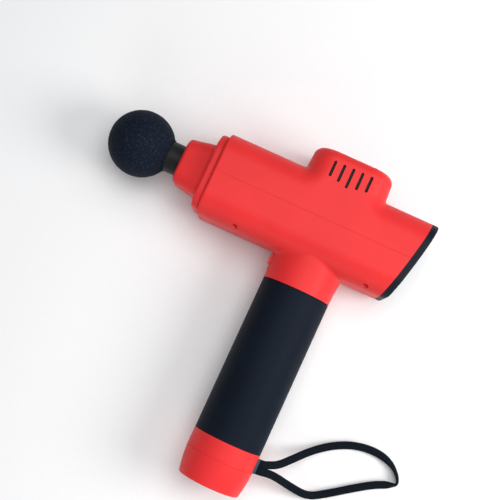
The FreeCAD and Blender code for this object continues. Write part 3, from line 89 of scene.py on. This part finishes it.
# %% Camera
CAMERA_PLACE = Vector((-4.4, -105.0, 816.0)) * MM
CAMERA_TARGET = Vector((-42.4, -37.8, 31.0)) * MM
PICTURE_TURN = math.radians(24.7)
LENS = 78.75

camera_data = bpy.data.cameras.new("camera")
camera_data.lens = LENS
camera_data.sensor_width = 36.0
camera_data.clip_start = 0.01
camera = bpy.data.objects.new("camera", camera_data)
bpy.context.scene.collection.objects.link(camera)
away = (CAMERA_PLACE - CAMERA_TARGET).normalized()
picture_up = Vector((-math.sin(PICTURE_TURN), math.cos(PICTURE_TURN), 0))
right = picture_up.cross(away).normalized()
upward = away.cross(right)
camera.matrix_world = Matrix.Translation(CAMERA_PLACE) @ Matrix((right, upward, away)).transposed().to_4x4()
bpy.context.scene.camera = camera
print("camera at", [round(v / MM) for v in CAMERA_PLACE], "mm")


# %% Lamps and sky
def soft_lamp(name, place, target, size, power):
    """Round soft lamp at a place, facing a target. Places and size are in millimetres."""
    data = bpy.data.lights.new(name, "AREA")
    data.shape = "DISK"
    data.size = size * MM
    data.energy = power
    lamp = bpy.data.objects.new(name, data)
    bpy.context.scene.collection.objects.link(lamp)
    lamp.location = Vector(place) * MM
    lamp.rotation_euler = (Vector(target) * MM - lamp.location).to_track_quat("-Z", "Y").to_euler()
    return lamp


soft_lamp("key_lamp", (760, 60, 620), (0, -40, 20), 520, 6.0)
soft_lamp("top_lamp", (60, 150, 1000), (-20, -60, 0), 700, 4.6)
soft_lamp("low_lamp", (100, -820, 420), (0, -60, 20), 500, 1.5)

world = bpy.data.worlds.new("studio")
world.use_nodes = True
sky = world.node_tree.nodes["Background"]
sky.inputs["Color"].default_value = (0.95, 0.97, 1.0, 1)
sky.inputs["Strength"].default_value = 0.33
bpy.context.scene.world = world
bpy.context.scene.view_settings.view_transform = "Standard"

# %% [markdown]
# ## Wrist strap, part one: the line that it follows
#
# The strap is a flat tubular braid nearly 6 mm wide. Both ends go into the anchor block at the foot of
# the handle, and between them it falls to the floor, arches away, turns on its edge at the far end
# and comes back. A NURBS curve with a short list of control points gives the line, because it bends
# as evenly as a real strap does. Both ends start square to the anchor block.

# %% Route of the strap
STRAP_WIDTH = 5.8 * MM
STRAP_ROUTE = [
    (0.0268, -0.1729, 0.0310), (0.0304, -0.1727, 0.0310), (0.0340, -0.1712, 0.0300),
    (0.0376, -0.1698, 0.0282), (0.0412, -0.1676, 0.0253), (0.0448, -0.1643, 0.0208),
    (0.0496, -0.1600, 0.0142), (0.0556, -0.1540, 0.0080), (0.0640, -0.1467, 0.0041),
    (0.0735, -0.1401, 0.0028), (0.0848, -0.1347, 0.0027), (0.0966, -0.1323, 0.0028),
    (0.1076, -0.1325, 0.0030), (0.1168, -0.1357, 0.0033), (0.1234, -0.1412, 0.0036),
    (0.1263, -0.1474, 0.0036), (0.1210, -0.1496, 0.0034), (0.1114, -0.1538, 0.0029),
    (0.0992, -0.1620, 0.0027), (0.0872, -0.1708, 0.0027), (0.0768, -0.1780, 0.0029),
    (0.0710, -0.1810, 0.0040), (0.0650, -0.1816, 0.0068), (0.0570, -0.1805, 0.0118),
    (0.0492, -0.1790, 0.0179), (0.0428, -0.1776, 0.0236), (0.0382, -0.1770, 0.0274),
    (0.0340, -0.1772, 0.0298), (0.0304, -0.1779, 0.0310), (0.0268, -0.1781, 0.0310),
]


def nurbs_points(route):
    """Points along the smooth curve that a route's control points give."""
    curve = bpy.data.curves.new("strap_line", "CURVE")
    curve.dimensions = "3D"
    spline = curve.splines.new("NURBS")
    spline.points.add(len(route) - 1)
    for point, place in zip(spline.points, route):
        point.co = (*place, 1)
    spline.order_u = 3
    spline.use_endpoint_u = True
    spline.resolution_u = 24
    line = bpy.data.objects.new("strap_line", curve)
    bpy.context.scene.collection.objects.link(line)
    bpy.context.view_layer.update()
    mesh = bpy.data.meshes.new_from_object(line)
    points = np.array([v.co for v in mesh.vertices], float)
    bpy.data.objects.remove(line)
    bpy.data.meshes.remove(mesh)
    return points


def evenly_spaced(points, step):
    """The same line, cut into equal steps, with the distance along it of each point."""
    along = np.concatenate([[0], np.cumsum(np.linalg.norm(np.diff(points, axis=0), axis=1))])
    stations = np.linspace(0, along[-1], int(round(along[-1] / step)) + 1)
    columns = [np.interp(stations, along, points[:, axis]) for axis in range(3)]
    return np.column_stack(columns), stations


RING_STEP = 0.2 * MM
strap_line = nurbs_points(STRAP_ROUTE)
strap_centre, strap_along = evenly_spaced(strap_line, RING_STEP)
print("strap line is", round(strap_along[-1] / MM, 1), "mm long")


# %% [markdown]
# ## Shader arithmetic
#
# A finish is a small sum of noises, masks and mixes. Written as nodes it is long, so one class
# wraps a socket and turns Python's operators into Math nodes, and another adds any other node in one
# call. Settings such as a node's operation are set before its sockets, because they can change them.

# %% Sockets that do arithmetic
class Wire:
    """The output of a node. Arithmetic on it adds Math nodes."""

    def __init__(self, finish, socket):
        self.finish = finish
        self.socket = socket

    def _math(self, operation, *values):
        return self.finish.node("ShaderNodeMath", {"operation": operation}, dict(enumerate(values)))

    def __add__(self, other):
        return self._math("ADD", self, other)

    def __sub__(self, other):
        return self._math("SUBTRACT", self, other)

    def __rsub__(self, other):
        return self._math("SUBTRACT", other, self)

    def __mul__(self, other):
        return self._math("MULTIPLY", self, other)

    __radd__ = __add__
    __rmul__ = __mul__

    def step(self, low, high):
        """0 at low, 1 at high, and a smooth ramp between them. Low may be the larger one."""
        settings = {"interpolation_type": "SMOOTHSTEP"}
        if low < high:
            return self.finish.node("ShaderNodeMapRange", settings,
                                    {"Value": self, "From Min": low, "From Max": high})
        return 1 - self.step(high, low)


class Finish:
    """A material that is built one node at a time."""

    def __init__(self, name):
        self.material = bpy.data.materials.new(name)
        self.material.use_nodes = True
        self.tree = self.material.node_tree
        self.tree.nodes.clear()

    def node(self, kind, settings=None, inputs=None, output=0):
        """One node: its type, its settings, the values or links of its sockets, and its output."""
        made = self.tree.nodes.new(kind)
        for name, value in (settings or {}).items():
            setattr(made, name, value)
        for name, value in (inputs or {}).items():
            if isinstance(value, Wire):
                self.tree.links.new(value.socket, made.inputs[name])
            else:
                made.inputs[name].default_value = value
        return Wire(self, made.outputs[output])

    def place(self, stretch=(1, 1, 1)):
        """Object coordinates, in metres, squeezed by a factor along each axis."""
        here = self.node("ShaderNodeTexCoord", output="Object")
        if stretch == (1, 1, 1):
            return here
        return self.node("ShaderNodeMapping", None, {"Vector": here, "Scale": stretch})

    def noise(self, size, detail=3.0, roughness=0.5, stretch=(1, 1, 1)):
        """Soft noise whose blotches are about size millimetres across."""
        inputs = {"Vector": self.place(stretch), "Scale": 1 / (size * MM)}
        inputs |= {"Detail": detail, "Roughness": roughness}
        return self.node("ShaderNodeTexNoise", None, inputs)

    def cells(self, size, feature="F1"):
        """Distance to the nearest of points about size millimetres apart."""
        inputs = {"Vector": self.place(), "Scale": 1 / (size * MM)}
        return self.node("ShaderNodeTexVoronoi", {"feature": feature}, inputs)

    def mix(self, factor, first, second):
        """Colour between two colours."""
        inputs = {0: factor, 6: self._colour(first), 7: self._colour(second)}
        return self.node("ShaderNodeMix", {"data_type": "RGBA"}, inputs, output=2)

    def _colour(self, value):
        return value if isinstance(value, Wire) else (*value, 1)

    def bump(self, height, depth):
        """Normal of a relief that is depth millimetres high where height is 1."""
        return self.node("ShaderNodeBump", None, {"Height": height, "Distance": depth * MM})

    def surface(self, colour, roughness, normal=None, metallic=0.0, **constants):
        """Shader and output. The constants are sockets with one value all over."""
        inputs = {"Base Color": self._colour(colour), "Roughness": roughness, "Metallic": metallic}
        if normal:
            inputs["Normal"] = normal
        inputs |= {name.replace("_", " "): value for name, value in constants.items()}
        shader = self.node("ShaderNodeBsdfPrincipled", None, inputs)
        output = self.tree.nodes.new("ShaderNodeOutputMaterial")
        self.tree.links.new(shader.socket, output.inputs["Surface"])
        return self.material


def scaled(colour, factor):
    return tuple(min(1.0, channel * factor) for channel in colour)


print("shader tools ready")

# %% [markdown]
# ## Finishes
#
# Each finish starts from what the real surface is. The red shell is moulded plastic under a
# soft-touch lacquer: a fine, even grain, no clear gloss, and a tone that drifts a little over its
# length. Grip, panel and foam share a navy that is nearly black. Metals differ in how they were made:
# ground parts have fine lines, castings a pebbled skin. Many surfaces are matt, so their specular
# level is well below the usual 0.5, or the pale floor would turn their dark sides grey.

# %% Soft-touch red lacquer
RED = (0.77, 0.029, 0.030)


def soft_touch_red():
    finish = Finish("soft_touch_red")
    drift = finish.noise(60.0, 2.0)
    grain = finish.noise(0.35, 2.0)
    scuff = finish.noise(7.0, 6.0, 0.75).step(0.60, 0.78)
    colour = finish.mix(drift.step(0.3, 0.7), scaled(RED, 0.95), scaled(RED, 1.04))
    colour = finish.mix(scuff * 0.10, colour, (0.90, 0.16, 0.14))
    roughness = 0.44 + grain * 0.08 + scuff * 0.05
    return finish.surface(colour, roughness, finish.bump(grain, 0.012), Specular_IOR_Level=0.2)


# %% Navy rubber, textured panel and foam
NAVY = (0.0045, 0.0080, 0.0155)


def grip_rubber():
    finish = Finish("navy_grip_rubber")
    drift = finish.noise(45.0, 3.0)
    grain = finish.noise(0.28, 2.0)
    dust = finish.cells(2.6).step(0.10, 0.03) * finish.noise(9.0, 3.0).step(0.5, 0.7)
    colour = finish.mix(drift.step(0.3, 0.7), scaled(NAVY, 0.9), scaled(NAVY, 1.15))
    colour = finish.mix(dust * 0.03, colour, (0.10, 0.11, 0.13))
    roughness = 0.50 + grain * 0.10 + drift * 0.05
    return finish.surface(colour, roughness, finish.bump(grain, 0.015), Specular_IOR_Level=0.08)


def textured_navy():
    finish = Finish("textured_navy")
    pebbles = finish.cells(0.55)
    drift = finish.noise(30.0, 2.0)
    colour = finish.mix(drift.step(0.3, 0.7), scaled(NAVY, 0.95), scaled(NAVY, 1.2))
    roughness = 0.46 + pebbles * 0.12
    return finish.surface(colour, roughness, finish.bump(pebbles, 0.03), Specular_IOR_Level=0.15)


def foam_skin():
    finish = Finish("foam_skin")
    cells = finish.cells(0.75)
    fine = finish.noise(0.5, 4.0, 0.7)
    flecks = finish.noise(1.3, 4.0, 0.8).step(0.52, 0.72)
    colour = finish.mix(flecks, scaled(NAVY, 1.2), (0.036, 0.050, 0.082))
    # Painted shade in the pores: the pits that the bump sinks get a darker navy.
    colour = finish.mix(cells.step(0.05, 0.30), scaled(NAVY, 0.6), colour)
    height = cells * 0.6 + fine * 0.4
    roughness = 0.62 + fine * 0.16
    return finish.surface(colour, roughness, finish.bump(height, 0.09), Specular_IOR_Level=0.07)


# %% Black plastics and rubber
def moulded_black(name, tone, grain_size, base_roughness):
    finish = Finish(name)
    grain = finish.noise(grain_size, 3.0)
    drift = finish.noise(18.0, 2.0)
    colour = finish.mix(drift.step(0.3, 0.7), scaled(tone, 0.85), scaled(tone, 1.2))
    roughness = base_roughness + grain * 0.14
    return finish.surface(colour, roughness, finish.bump(grain, 0.02), Specular_IOR_Level=0.2)


# %% Metals
def turned_metal(name, tone, roughness, stretch=(1, 1, 40)):
    """Ground or turned metal: noise squeezed along one axis turns into fine lines."""
    finish = Finish(name)
    lines = finish.noise(2.2, 4.0, 0.6, stretch)
    stain = finish.noise(6.0, 3.0).step(0.55, 0.75)
    colour = finish.mix(stain * 0.35, tone, scaled(tone, 0.7))
    return finish.surface(colour, roughness + lines * 0.18, finish.bump(lines, 0.006), metallic=1.0)


def cast_metal():
    finish = Finish("cast_metal")
    skin = finish.noise(0.9, 4.0, 0.6)
    colour = finish.mix(skin.step(0.3, 0.7), (0.42, 0.43, 0.44), (0.60, 0.61, 0.62))
    return finish.surface(colour, 0.46 + skin * 0.15, finish.bump(skin, 0.05), metallic=1.0)


def wound_copper():
    finish = Finish("wound_copper")
    inputs = {"Vector": finish.place(), "Scale": 900.0, "Distortion": 1.5, "Detail": 1.0}
    turns = finish.node("ShaderNodeTexWave", {"bands_direction": "Y"}, inputs, output=1)
    # Painted shade and highlight on the winding: dark copper where the wave's relief is low between the
    # turns of wire, light copper on their crowns.
    colour = finish.mix(turns, (0.30, 0.11, 0.04), (0.78, 0.36, 0.16))
    return finish.surface(colour, 0.34 - turns * 0.1, finish.bump(turns, 0.12), metallic=0.9)


# %% Boards, cells, lenses
def circuit_board():
    finish = Finish("circuit_board")
    tracks = finish.cells(1.8, "DISTANCE_TO_EDGE").step(0.06, 0.12)
    pads = finish.cells(2.9).step(0.16, 0.12)
    colour = finish.mix(tracks, (0.02, 0.16, 0.07), (0.010, 0.085, 0.035))
    colour = finish.mix(pads, colour, (0.70, 0.66, 0.52))
    return finish.surface(colour, 0.35 - pads * 0.1, finish.bump(1 - tracks, 0.03))


def shrink_sleeve():
    finish = Finish("shrink_sleeve")
    crease = finish.noise(5.0, 4.0, 0.65)
    # Painted shade and highlight on the creases: the colour follows the crease relief, darker blue in its
    # hollows and lighter on its ridges.
    colour = finish.mix(crease, (0.012, 0.16, 0.33), (0.02, 0.22, 0.42))
    return finish.surface(colour, 0.24 + crease * 0.1, finish.bump(crease, 0.05))


def milky_lens():
    finish = Finish("milky_lens")
    cloud = finish.noise(1.2, 2.0)
    colour = finish.mix(cloud, (0.62, 0.66, 0.68), (0.78, 0.81, 0.82))
    return finish.surface(colour, 0.16 + cloud * 0.05, finish.bump(cloud, 0.01))


def teal_plastic():
    finish = Finish("teal_plastic")
    grain = finish.noise(0.4, 2.0)
    colour = finish.mix(grain, (0.004, 0.034, 0.046), (0.008, 0.060, 0.078))
    return finish.surface(colour, 0.38 + grain * 0.1, finish.bump(grain, 0.01))


def braided_cord():
    finish = Finish("braided_cord")
    yarn_shade = finish.node("ShaderNodeAttribute", {"attribute_name": "yarn_shade"}, output="Fac")
    fleck = finish.noise(0.8, 4.0, 0.7).step(0.50, 0.66)
    fibre = finish.noise(0.12, 2.0)
    # Painted shade and highlight: the yarn relief darkens the gaps between yarns and lightens their crowns,
    # and the flecks show only on the crowns.
    colour = finish.mix(yarn_shade, (0.0008, 0.0012, 0.0020), (0.0050, 0.0078, 0.0128))
    colour = finish.mix(fleck * yarn_shade * 0.3, colour, (0.028, 0.042, 0.062))
    roughness = 0.60 + fibre * 0.2
    return finish.surface(colour, roughness, finish.bump(fibre, 0.05), Specular_IOR_Level=0.06)


# %% [markdown]
# ## Dressing the parts
#
# The record names a material slot for every part, so one table from slot to finish dresses them all.
# A part's mesh is never touched: only its material changes.

# %% Dress the parts
FINISHES = {
    "red_shell": soft_touch_red(),
    "navy_panel": textured_navy(),
    "grip_rubber": grip_rubber(),
    "foam": foam_skin(),
    "neck_plastic": moulded_black("neck_black", (0.0115, 0.0115, 0.012), 0.5, 0.40),
    "button_plastic": moulded_black("button_black", (0.016, 0.017, 0.019), 0.3, 0.32),
    "black_plastic": moulded_black("plain_black", (0.013, 0.013, 0.014), 0.9, 0.45),
    "black_rubber": moulded_black("rubber_black", (0.009, 0.009, 0.009), 1.2, 0.66),
    "lens": milky_lens(),
    "circuit_board": circuit_board(),
    "screw_steel": turned_metal("screw_steel", (0.16, 0.16, 0.17), 0.36),
    "cast_metal": cast_metal(),
    "plunger_metal": turned_metal("plunger_metal", (0.66, 0.67, 0.69), 0.24, (40, 1, 1)),
    "bearing_steel": turned_metal("bearing_steel", (0.56, 0.57, 0.58), 0.22, (1, 40, 1)),
    "lamination_steel": turned_metal("lamination_steel", (0.34, 0.34, 0.35), 0.42, (1, 60, 1)),
    "spring_steel": turned_metal("spring_steel", (0.62, 0.62, 0.60), 0.26, (1, 1, 30)),
    "magnet": turned_metal("magnet_plating", (0.55, 0.55, 0.56), 0.18, (1, 20, 1)),
    "copper": wound_copper(),
    "bronze": turned_metal("bronze", (0.52, 0.34, 0.15), 0.38, (30, 1, 1)),
    "contact_brass": turned_metal("contact_brass", (0.80, 0.60, 0.28), 0.22, (1, 30, 1)),
    "cell_wrap": shrink_sleeve(),
    "anchor_plastic": teal_plastic(),
    "strap_braid": braided_cord(),
}
SLOT_OF = {part["node"]: part["material_slot"] for part in frame["record"]["subparts"]}


def dress(piece, slot):
    """Give a piece the finish of a material slot."""
    piece.data.materials.clear()
    piece.data.materials.append(FINISHES[slot])


for node, part in frame["nodes"].items():
    dress(part, SLOT_OF[node])
print("dressed", len(frame["nodes"]), "parts in", len(FINISHES), "finishes")


# %% [markdown]
# ## Making pieces
#
# Most new pieces go the same way: nothing is selected, a primitive is added at its size and place,
# and an edit-mode operator or a modifier shapes it. At the end its place is put into its mesh, its
# doubles are merged and its faces are turned outwards. Only the braid comes from a list of points.

# %% Helpers for pieces
def deselect():
    bpy.ops.object.select_all(action="DESELECT")


def named(name):
    """The object that was just added, under its name."""
    piece = bpy.context.object
    piece.name = name
    piece.data.name = name
    return piece


def settle(piece, body, slot, *nodes, smooth_angle=None):
    """Finish a piece: place into its mesh, faces outwards, body, slot and what it replaces.
    A piece that bends between two bodies has no body of its own."""
    deselect()
    piece.select_set(True)
    bpy.context.view_layer.objects.active = piece
    bpy.ops.object.transform_apply(location=True, rotation=True, scale=True)
    bpy.ops.object.mode_set(mode="EDIT")
    bpy.ops.mesh.select_all(action="SELECT")
    bpy.ops.mesh.remove_doubles(threshold=0.000001)
    bpy.ops.mesh.normals_make_consistent(inside=False)
    bpy.ops.object.mode_set(mode="OBJECT")
    if smooth_angle is None:
        bpy.ops.object.shade_smooth()
    else:
        bpy.ops.object.shade_smooth_by_angle(angle=math.radians(smooth_angle))
    dress(piece, slot)
    if body:
        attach(piece, body)
    if nodes:
        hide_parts(*nodes)
    print(piece.name, "has", len(piece.data.polygons), "faces")
    return piece


# %% [markdown]
# ## Wrist strap, part two: the braid
#
# A flat tubular braid is a hollow tube of yarns that run both ways round it, pressed flat. Each yarn
# goes over two and under two, so the flat faces show rows of slanted stitches. The tube is laid
# round the line ring by ring: a flattened oval, rolled on to its edge where the strap turns back,
# and pulled in between the yarns. The same relief is kept as an attribute that paints shade into the
# gaps between yarns and a highlight on their crowns. The roll builds up slowly along the arch and
# lets go quickly after the turn.

# %% Section, roll and relief of the braid
STRAP_THICK = 2.0 * MM
RING_POINTS = 56
SIDE_SHARPNESS = 0.8
FACE_FLATNESS = 0.7
YARNS = 9
STITCH = 1.5 * MM
RELIEF = 0.22 * MM
ROLL_PEAK = math.radians(78)
ROLL_SHARE = 0.515
ROLL_BEFORE = 0.085
ROLL_AFTER = 0.03


def braid_relief(along, around):
    """Height of the yarns, 0 in the gaps and 1 on the crowns. Around runs from 0 to 1."""
    first = along / STITCH + YARNS * around
    second = along / STITCH - YARNS * around
    twill = np.mod(np.floor(first) - np.floor(second), 4) < 2
    across = np.where(twill, np.mod(first, 1), np.mod(second, 1))
    return np.sqrt(np.clip(1 - (2 * across - 1) ** 2, 0, 1))


def turned_section(roll):
    """Offsets of the flat oval, as (sideways, upwards), for each ring's roll."""
    angle = np.linspace(0, 2 * np.pi, RING_POINTS, endpoint=False)
    width = STRAP_WIDTH / 2 * np.sign(np.cos(angle)) * np.abs(np.cos(angle)) ** SIDE_SHARPNESS
    height = STRAP_THICK / 2 * np.sign(np.sin(angle)) * np.abs(np.sin(angle)) ** FACE_FLATNESS
    side = np.outer(np.cos(roll), width) - np.outer(np.sin(roll), height)
    rise = np.outer(np.sin(roll), width) + np.outer(np.cos(roll), height)
    return side, rise


share = strap_along / strap_along[-1]
roll_reach = np.where(share < ROLL_SHARE, ROLL_BEFORE, ROLL_AFTER)
strap_roll = ROLL_PEAK * np.exp(-(((share - ROLL_SHARE) / roll_reach) ** 2))
tangent = np.gradient(strap_centre, axis=0)
tangent /= np.linalg.norm(tangent, axis=1)[:, None]
sideways = np.cross(tangent, (0, 0, 1))
sideways /= np.linalg.norm(sideways, axis=1)[:, None]
face_up = np.cross(sideways, tangent)
side, rise = turned_section(strap_roll)
around = np.arange(RING_POINTS) / RING_POINTS
relief = braid_relief(strap_along[:, None], around[None, :])
shrink = 1 - RELIEF * (1 - relief) / (STRAP_THICK / 2)
side = side * (1 - (1 - shrink) * STRAP_THICK / STRAP_WIDTH)
rise = rise * shrink
rings = strap_centre[:, None] + side[..., None] * sideways[:, None] + rise[..., None] * face_up[:, None]
print("braid:", rings.shape[0], "rings of", rings.shape[1], "points")


# %% Braided strap
def tube_of(name, rings):
    """Closed tube through rings of points, with a fan of faces at each end."""
    count, points = rings.shape[:2]
    vertices = [tuple(v) for v in rings.reshape(-1, 3)]
    vertices += [tuple(rings[0].mean(0)), tuple(rings[-1].mean(0))]
    faces = []
    for ring in range(count - 1):
        for point in range(points):
            after = (point + 1) % points
            low, high = ring * points, (ring + 1) * points
            faces.append((low + point, low + after, high + after, high + point))
    for point in range(points):
        after = (point + 1) % points
        last = (count - 1) * points
        faces.append((after, point, count * points))
        faces.append((last + point, last + after, count * points + 1))
    mesh = bpy.data.meshes.new(name)
    mesh.from_pydata(vertices, [], faces)
    piece = bpy.data.objects.new(name, mesh)
    bpy.context.scene.collection.objects.link(piece)
    return piece


strap = tube_of("braided_strap", rings)
# The yarn relief is kept on the points, so that the finish can paint shade into the gaps between yarns.
yarn_shade = strap.data.attributes.new("yarn_shade", "FLOAT", "POINT")
yarn_shade.data.foreach_set("value", np.concatenate([relief.ravel(), [0, 0]]).astype(np.float32))
settle(strap, "battery", "strap_braid", "wrist_strap")

# %% [markdown]
# ## Foam ball
#
# The head is a moulded foam ball on a plastic neck. Its skin is nearly matt, with pores you can just
# see, and it ends in a small rolled lip where it meets the neck. A ball primitive is turned so that
# its poles lie on the barrel's axis, and fine clouds of displacement make the skin uneven. The lip is
# a thin ring, half sunk in the ball, that stands where the ball's surface crosses the neck's.

# %% Foam ball
BALL_RINGS = 200
PORE_SIZE = 1.3 * MM
PORE_DEPTH = 0.16 * MM
ball_low, ball_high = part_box("ball_foam")
ball_radius = (ball_high.y - ball_low.y) / 2
ball_centre = Vector((ball_low.x + ball_radius, 0, MID_Z))
print("ball radius", round(ball_radius / MM, 2), "centre", [round(v / MM, 2) for v in ball_centre])

deselect()
bpy.ops.mesh.primitive_uv_sphere_add(segments=2 * BALL_RINGS, ring_count=BALL_RINGS, radius=ball_radius,
                                     location=ball_centre, rotation=(0, math.radians(90), 0))
ball = named("foam_ball")
pores = bpy.data.textures.new("pores", "CLOUDS")
pores.noise_scale = PORE_SIZE
pores.noise_depth = 2
skin = ball.modifiers.new("skin", "DISPLACE")
skin.texture = pores
skin.texture_coords = "LOCAL"
skin.strength = PORE_DEPTH
skin.mid_level = 1.0  # only inwards, so that the ball stays within its radius
bpy.ops.object.modifier_apply(modifier="skin")
settle(ball, "ball_head", "foam", "ball_foam")

# %% Lip of the ball
NECK_RADIUS = 11.5 * MM
LIP_RADIUS = 0.6 * MM
LIP_GAP = 0.25 * MM
LIP_SINK = 0.1 * MM
lip_x = ball_centre.x + math.sqrt(ball_radius ** 2 - NECK_RADIUS ** 2) - LIP_SINK
deselect()
bpy.ops.mesh.primitive_torus_add(major_segments=160, minor_segments=20, major_radius=NECK_RADIUS + LIP_GAP,
                                 minor_radius=LIP_RADIUS, location=(lip_x, 0, MID_Z),
                                 rotation=(0, math.radians(90), 0))
lip = settle(named("foam_lip"), "ball_head", "foam")

# %% [markdown]
# ## Mark on the power button
#
# The button on the rear panel carries the usual sign for power, a ring with a bar in it, as raised
# white print. The button's joint says which way its face looks, and the outermost points of its mesh
# say where that face is.

# %% Power sign
MARK_RADIUS = 3.0 * MM
MARK_LINE = 0.32 * MM
FACE_DEPTH = 0.02 * MM
press = next(j for j in frame["record"]["behaviour"]["joints"] if j["name"] == "power_button_press")
outward = -Vector(press["axis"])
button_points = [v.co for v in frame["nodes"]["power_button"].data.vertices]
reach = max(p.dot(outward) for p in button_points)
face_points = [p for p in button_points if p.dot(outward) > reach - FACE_DEPTH]
face_centre = sum(face_points, Vector()) / len(face_points)
facing = outward.to_track_quat("Z", "Y").to_euler()
upright = Vector((-outward.y, outward.x, 0)).to_track_quat("Z", "Y").to_euler()

deselect()
bpy.ops.mesh.primitive_torus_add(major_segments=96, minor_segments=12, major_radius=MARK_RADIUS,
                                 minor_radius=MARK_LINE, location=face_centre, rotation=facing)
settle(named("power_mark_ring"), "power_button", "lens")
deselect()
bpy.ops.mesh.primitive_cylinder_add(vertices=24, radius=MARK_LINE, depth=MARK_RADIUS,
                                    location=face_centre, rotation=upright)
settle(named("power_mark_bar"), "power_button", "lens", smooth_angle=40)
print("button face at", [round(v / MM, 1) for v in face_centre], "mm")

# %% [markdown]
# ## Leaf behind the release button
#
# A straight steel leaf holds the release button out. Its upper end is held in the housing and the rest
# lies on the button's flange, so when the button goes in, only the short free stretch between the
# two bends. The block is cut into many short pieces first, because only points can follow a bend.

# %% Release leaf
leaf_low, leaf_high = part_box("release_spring")
leaf_centre = (leaf_low + leaf_high) / 2
deselect()
bpy.ops.mesh.primitive_cube_add(size=1, location=leaf_centre, scale=leaf_high - leaf_low)
leaf = named("release_leaf")
bpy.ops.object.mode_set(mode="EDIT")
bpy.ops.mesh.select_all(action="SELECT")
bpy.ops.mesh.subdivide(number_cuts=30)
bpy.ops.object.mode_set(mode="OBJECT")
settle(leaf, None, "spring_steel", "release_spring", smooth_angle=30)
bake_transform(leaf)

# %% [markdown]
# ## Floor
#
# The floor is a plain pale sheet, a hair lower than the gun so that the two never share a surface.

# %% Floor
FLOOR_SIZE = 6.0
FLOOR_DROP = 0.2 * MM
deselect()
bpy.ops.mesh.primitive_plane_add(size=FLOOR_SIZE, location=(0, 0, -FLOOR_DROP))
floor = named("floor")
paper = Finish("pale_paper")
tooth = paper.noise(3.0, 2.0)
tone = paper.mix(tooth, (0.92, 0.92, 0.92), (0.95, 0.95, 0.95))
floor.data.materials.append(paper.surface(tone, 0.9, Specular_IOR_Level=0.1))
